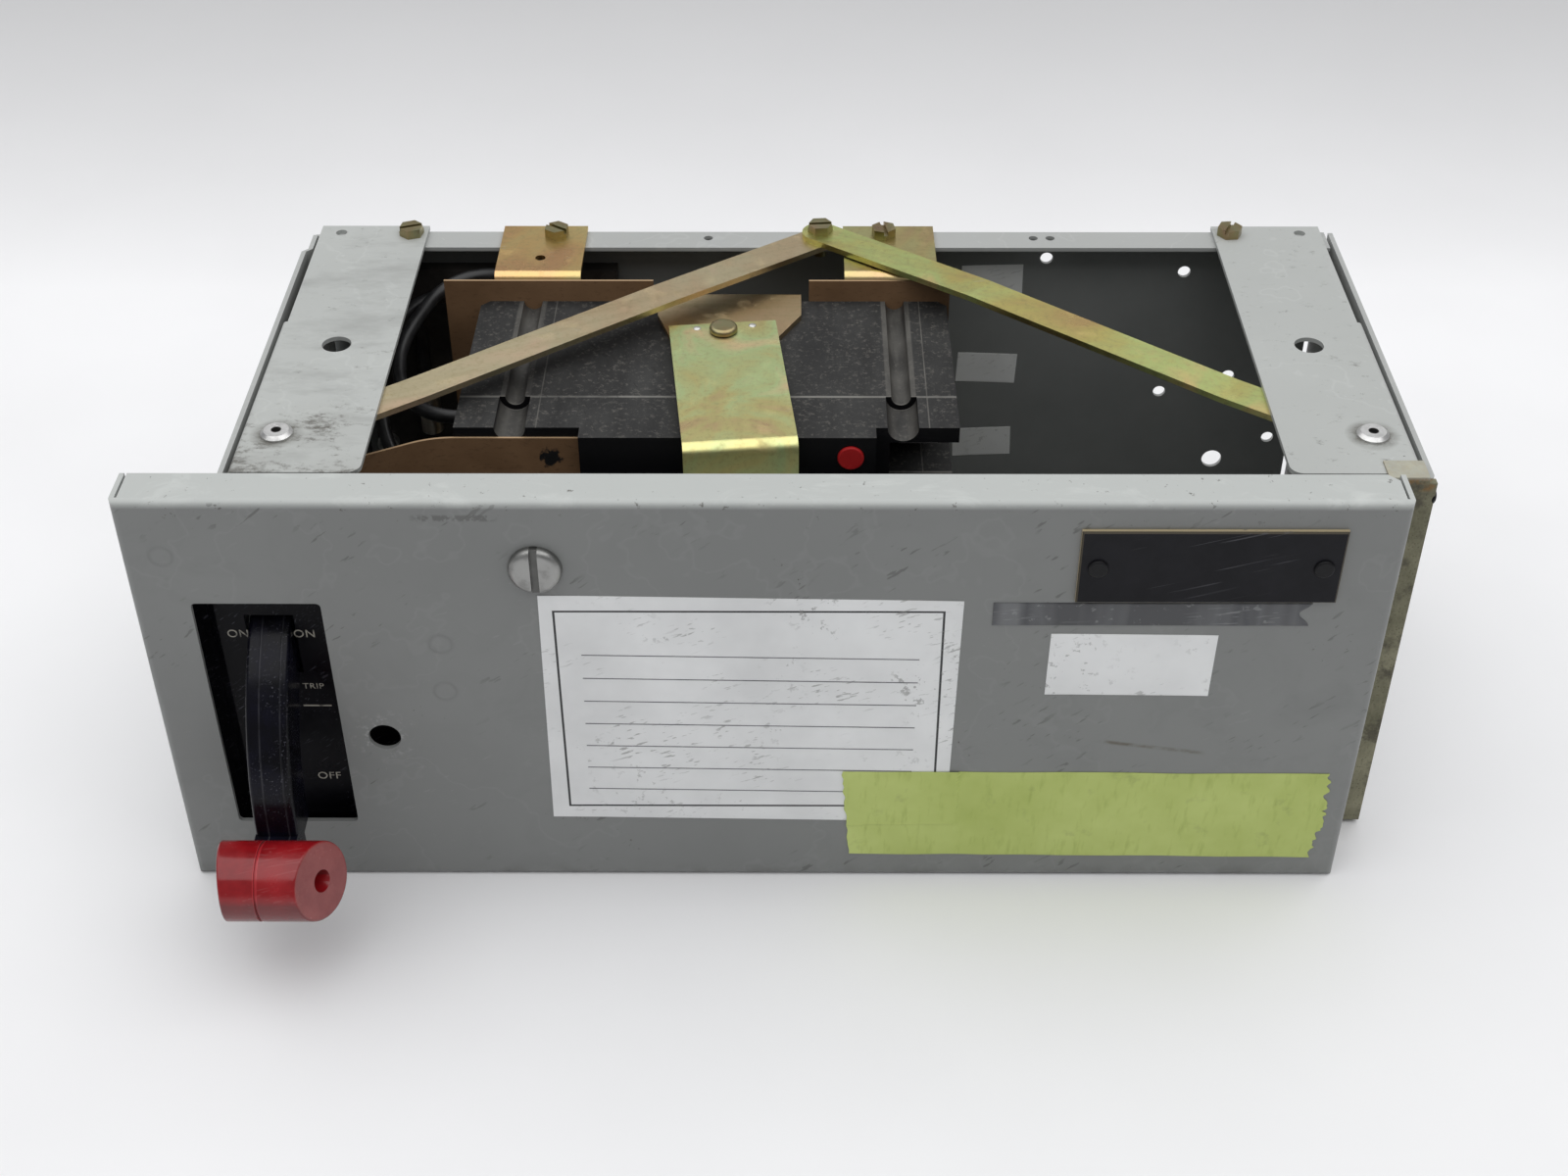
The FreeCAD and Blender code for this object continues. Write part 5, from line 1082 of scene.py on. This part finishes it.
def word_mesh(name, text, x, z, height):
    """A word standing on the housing's face, as a mesh with its place in its vertices."""
    curve = bpy.data.curves.new(name, "FONT")
    curve.body = text
    curve.size = height * FONT_SIZE_PER_HEIGHT * MM
    curve.align_x = "CENTER"
    curve.align_y = "CENTER"
    curve.extrude = WORD_THICK * MM
    curve.space_character = 1.08
    mesh = realized(bpy.data.objects.new(name, curve), name)
    upright = Matrix.Rotation(math.radians(90), 4, "X")
    mesh.transform(Matrix.Translation(Vector((x, HOUSING_FACE - WORD_PROUD, z)) * MM) @ upright)
    return mesh


def switch_lettering():
    paint = lettering_finish()
    for name, text, x, z, height in SWITCH_WORDS:
        keep(word_mesh(name, text, x, z, height), name, paint, "chassis", "black_handle")

    def rule_shape(u, v):
        x = TRIP_RULE[0] + TRIP_RULE_SIZE[0] * u
        z = TRIP_RULE[1] + TRIP_RULE_SIZE[1] * v
        return x, HOUSING_FACE - TRIP_RULE_PROUD, z

    rule = sheet_grid("trip_rule", 6, 2, 0.1, rule_shape)
    keep(rule, "trip_rule", paint, "chassis", "black_handle")


switch_lettering()


# Floor with a swept-up backdrop, and soft light from above, in metres
FLOOR_HALF = 2.6
SWEEP_START = 0.36
SWEEP_RADIUS = 0.75
WALL_TOP = 1.2
FLOOR_FRONT = -2.2
FLOOR_NEAR = -0.6
SWEEP_STEPS = 24
PAPER_SHADE_SPAN = (0.28, 0.70)
SOFTBOX_PLACE = (-0.05, -0.02, 1.75)
SOFTBOX_AIM = (-0.05, -0.02, 0.0)
SOFTBOX_WIDTH = 4.0
SOFTBOX_DEPTH = 3.2
SOFTBOX_WATTS = 58.0
WORLD_TONE = (0.97, 0.98, 1.0, 1)
WORLD_LEVEL = 0.29


def sweep():
    """One smooth white sheet: the floor, a quarter turn behind the object, and the wall above it."""
    profile = [(FLOOR_FRONT, 0.0), (FLOOR_NEAR, 0.0), (SWEEP_START, 0.0)]
    for step in range(1, SWEEP_STEPS + 1):
        angle = math.radians(90 * step / SWEEP_STEPS)
        profile.append((SWEEP_START + SWEEP_RADIUS * math.sin(angle), SWEEP_RADIUS * (1 - math.cos(angle))))
    profile.append((SWEEP_START + SWEEP_RADIUS, WALL_TOP))
    mesh = bmesh.new()
    rows = []
    for y, z in profile:
        rows.append([mesh.verts.new((side * FLOOR_HALF, y, z)) for side in (-1, 1)])
    for low, high in zip(rows, rows[1:]):
        mesh.faces.new([low[0], low[1], high[1], high[0]])
    data = bpy.data.meshes.new("paper_sweep")
    mesh.to_mesh(data)
    mesh.free()
    for face in data.polygons:
        face.use_smooth = True
    paper = Finish("white_paper", (0.80, 0.80, 0.81), 0.0, 0.7, Specular_IOR_Level=0.2)
    cloud = paper.mottle(7.0, 3.0, 0.5)
    shade = paper.paint((0.84, 0.84, 0.85), (0.87, 0.87, 0.88), paper.ramp(cloud, 0.35, 0.65))
    # Painted shade: the paper darkens towards the back, over the sweep and the wall.
    paper.colour(paper.paint(shade, (0.42, 0.42, 0.425), paper.ramp(paper.along("Y"), *PAPER_SHADE_SPAN)))
    data.materials.append(paper.material)
    floor = bpy.data.objects.new("paper_sweep", data)
    bpy.context.scene.collection.objects.link(floor)


def softbox():
    """One broad lamp overhead."""
    lamp = bpy.data.lights.new("overhead_softbox", "AREA")
    lamp.shape = "RECTANGLE"
    lamp.size = SOFTBOX_WIDTH
    lamp.size_y = SOFTBOX_DEPTH
    lamp.energy = SOFTBOX_WATTS
    holder = bpy.data.objects.new("overhead_softbox", lamp)
    holder.location = SOFTBOX_PLACE
    shine = Vector(SOFTBOX_AIM) - Vector(SOFTBOX_PLACE)
    holder.rotation_euler = shine.to_track_quat("-Z", "Y").to_euler()
    bpy.context.scene.collection.objects.link(holder)


def studio():
    sweep()
    softbox()
    world = bpy.data.worlds.new("studio_world")
    world.use_nodes = True
    background = world.node_tree.nodes["Background"]
    background.inputs[0].default_value = WORLD_TONE
    background.inputs[1].default_value = WORLD_LEVEL
    bpy.context.scene.world = world
    bpy.context.scene.view_settings.view_transform = "Standard"


studio()
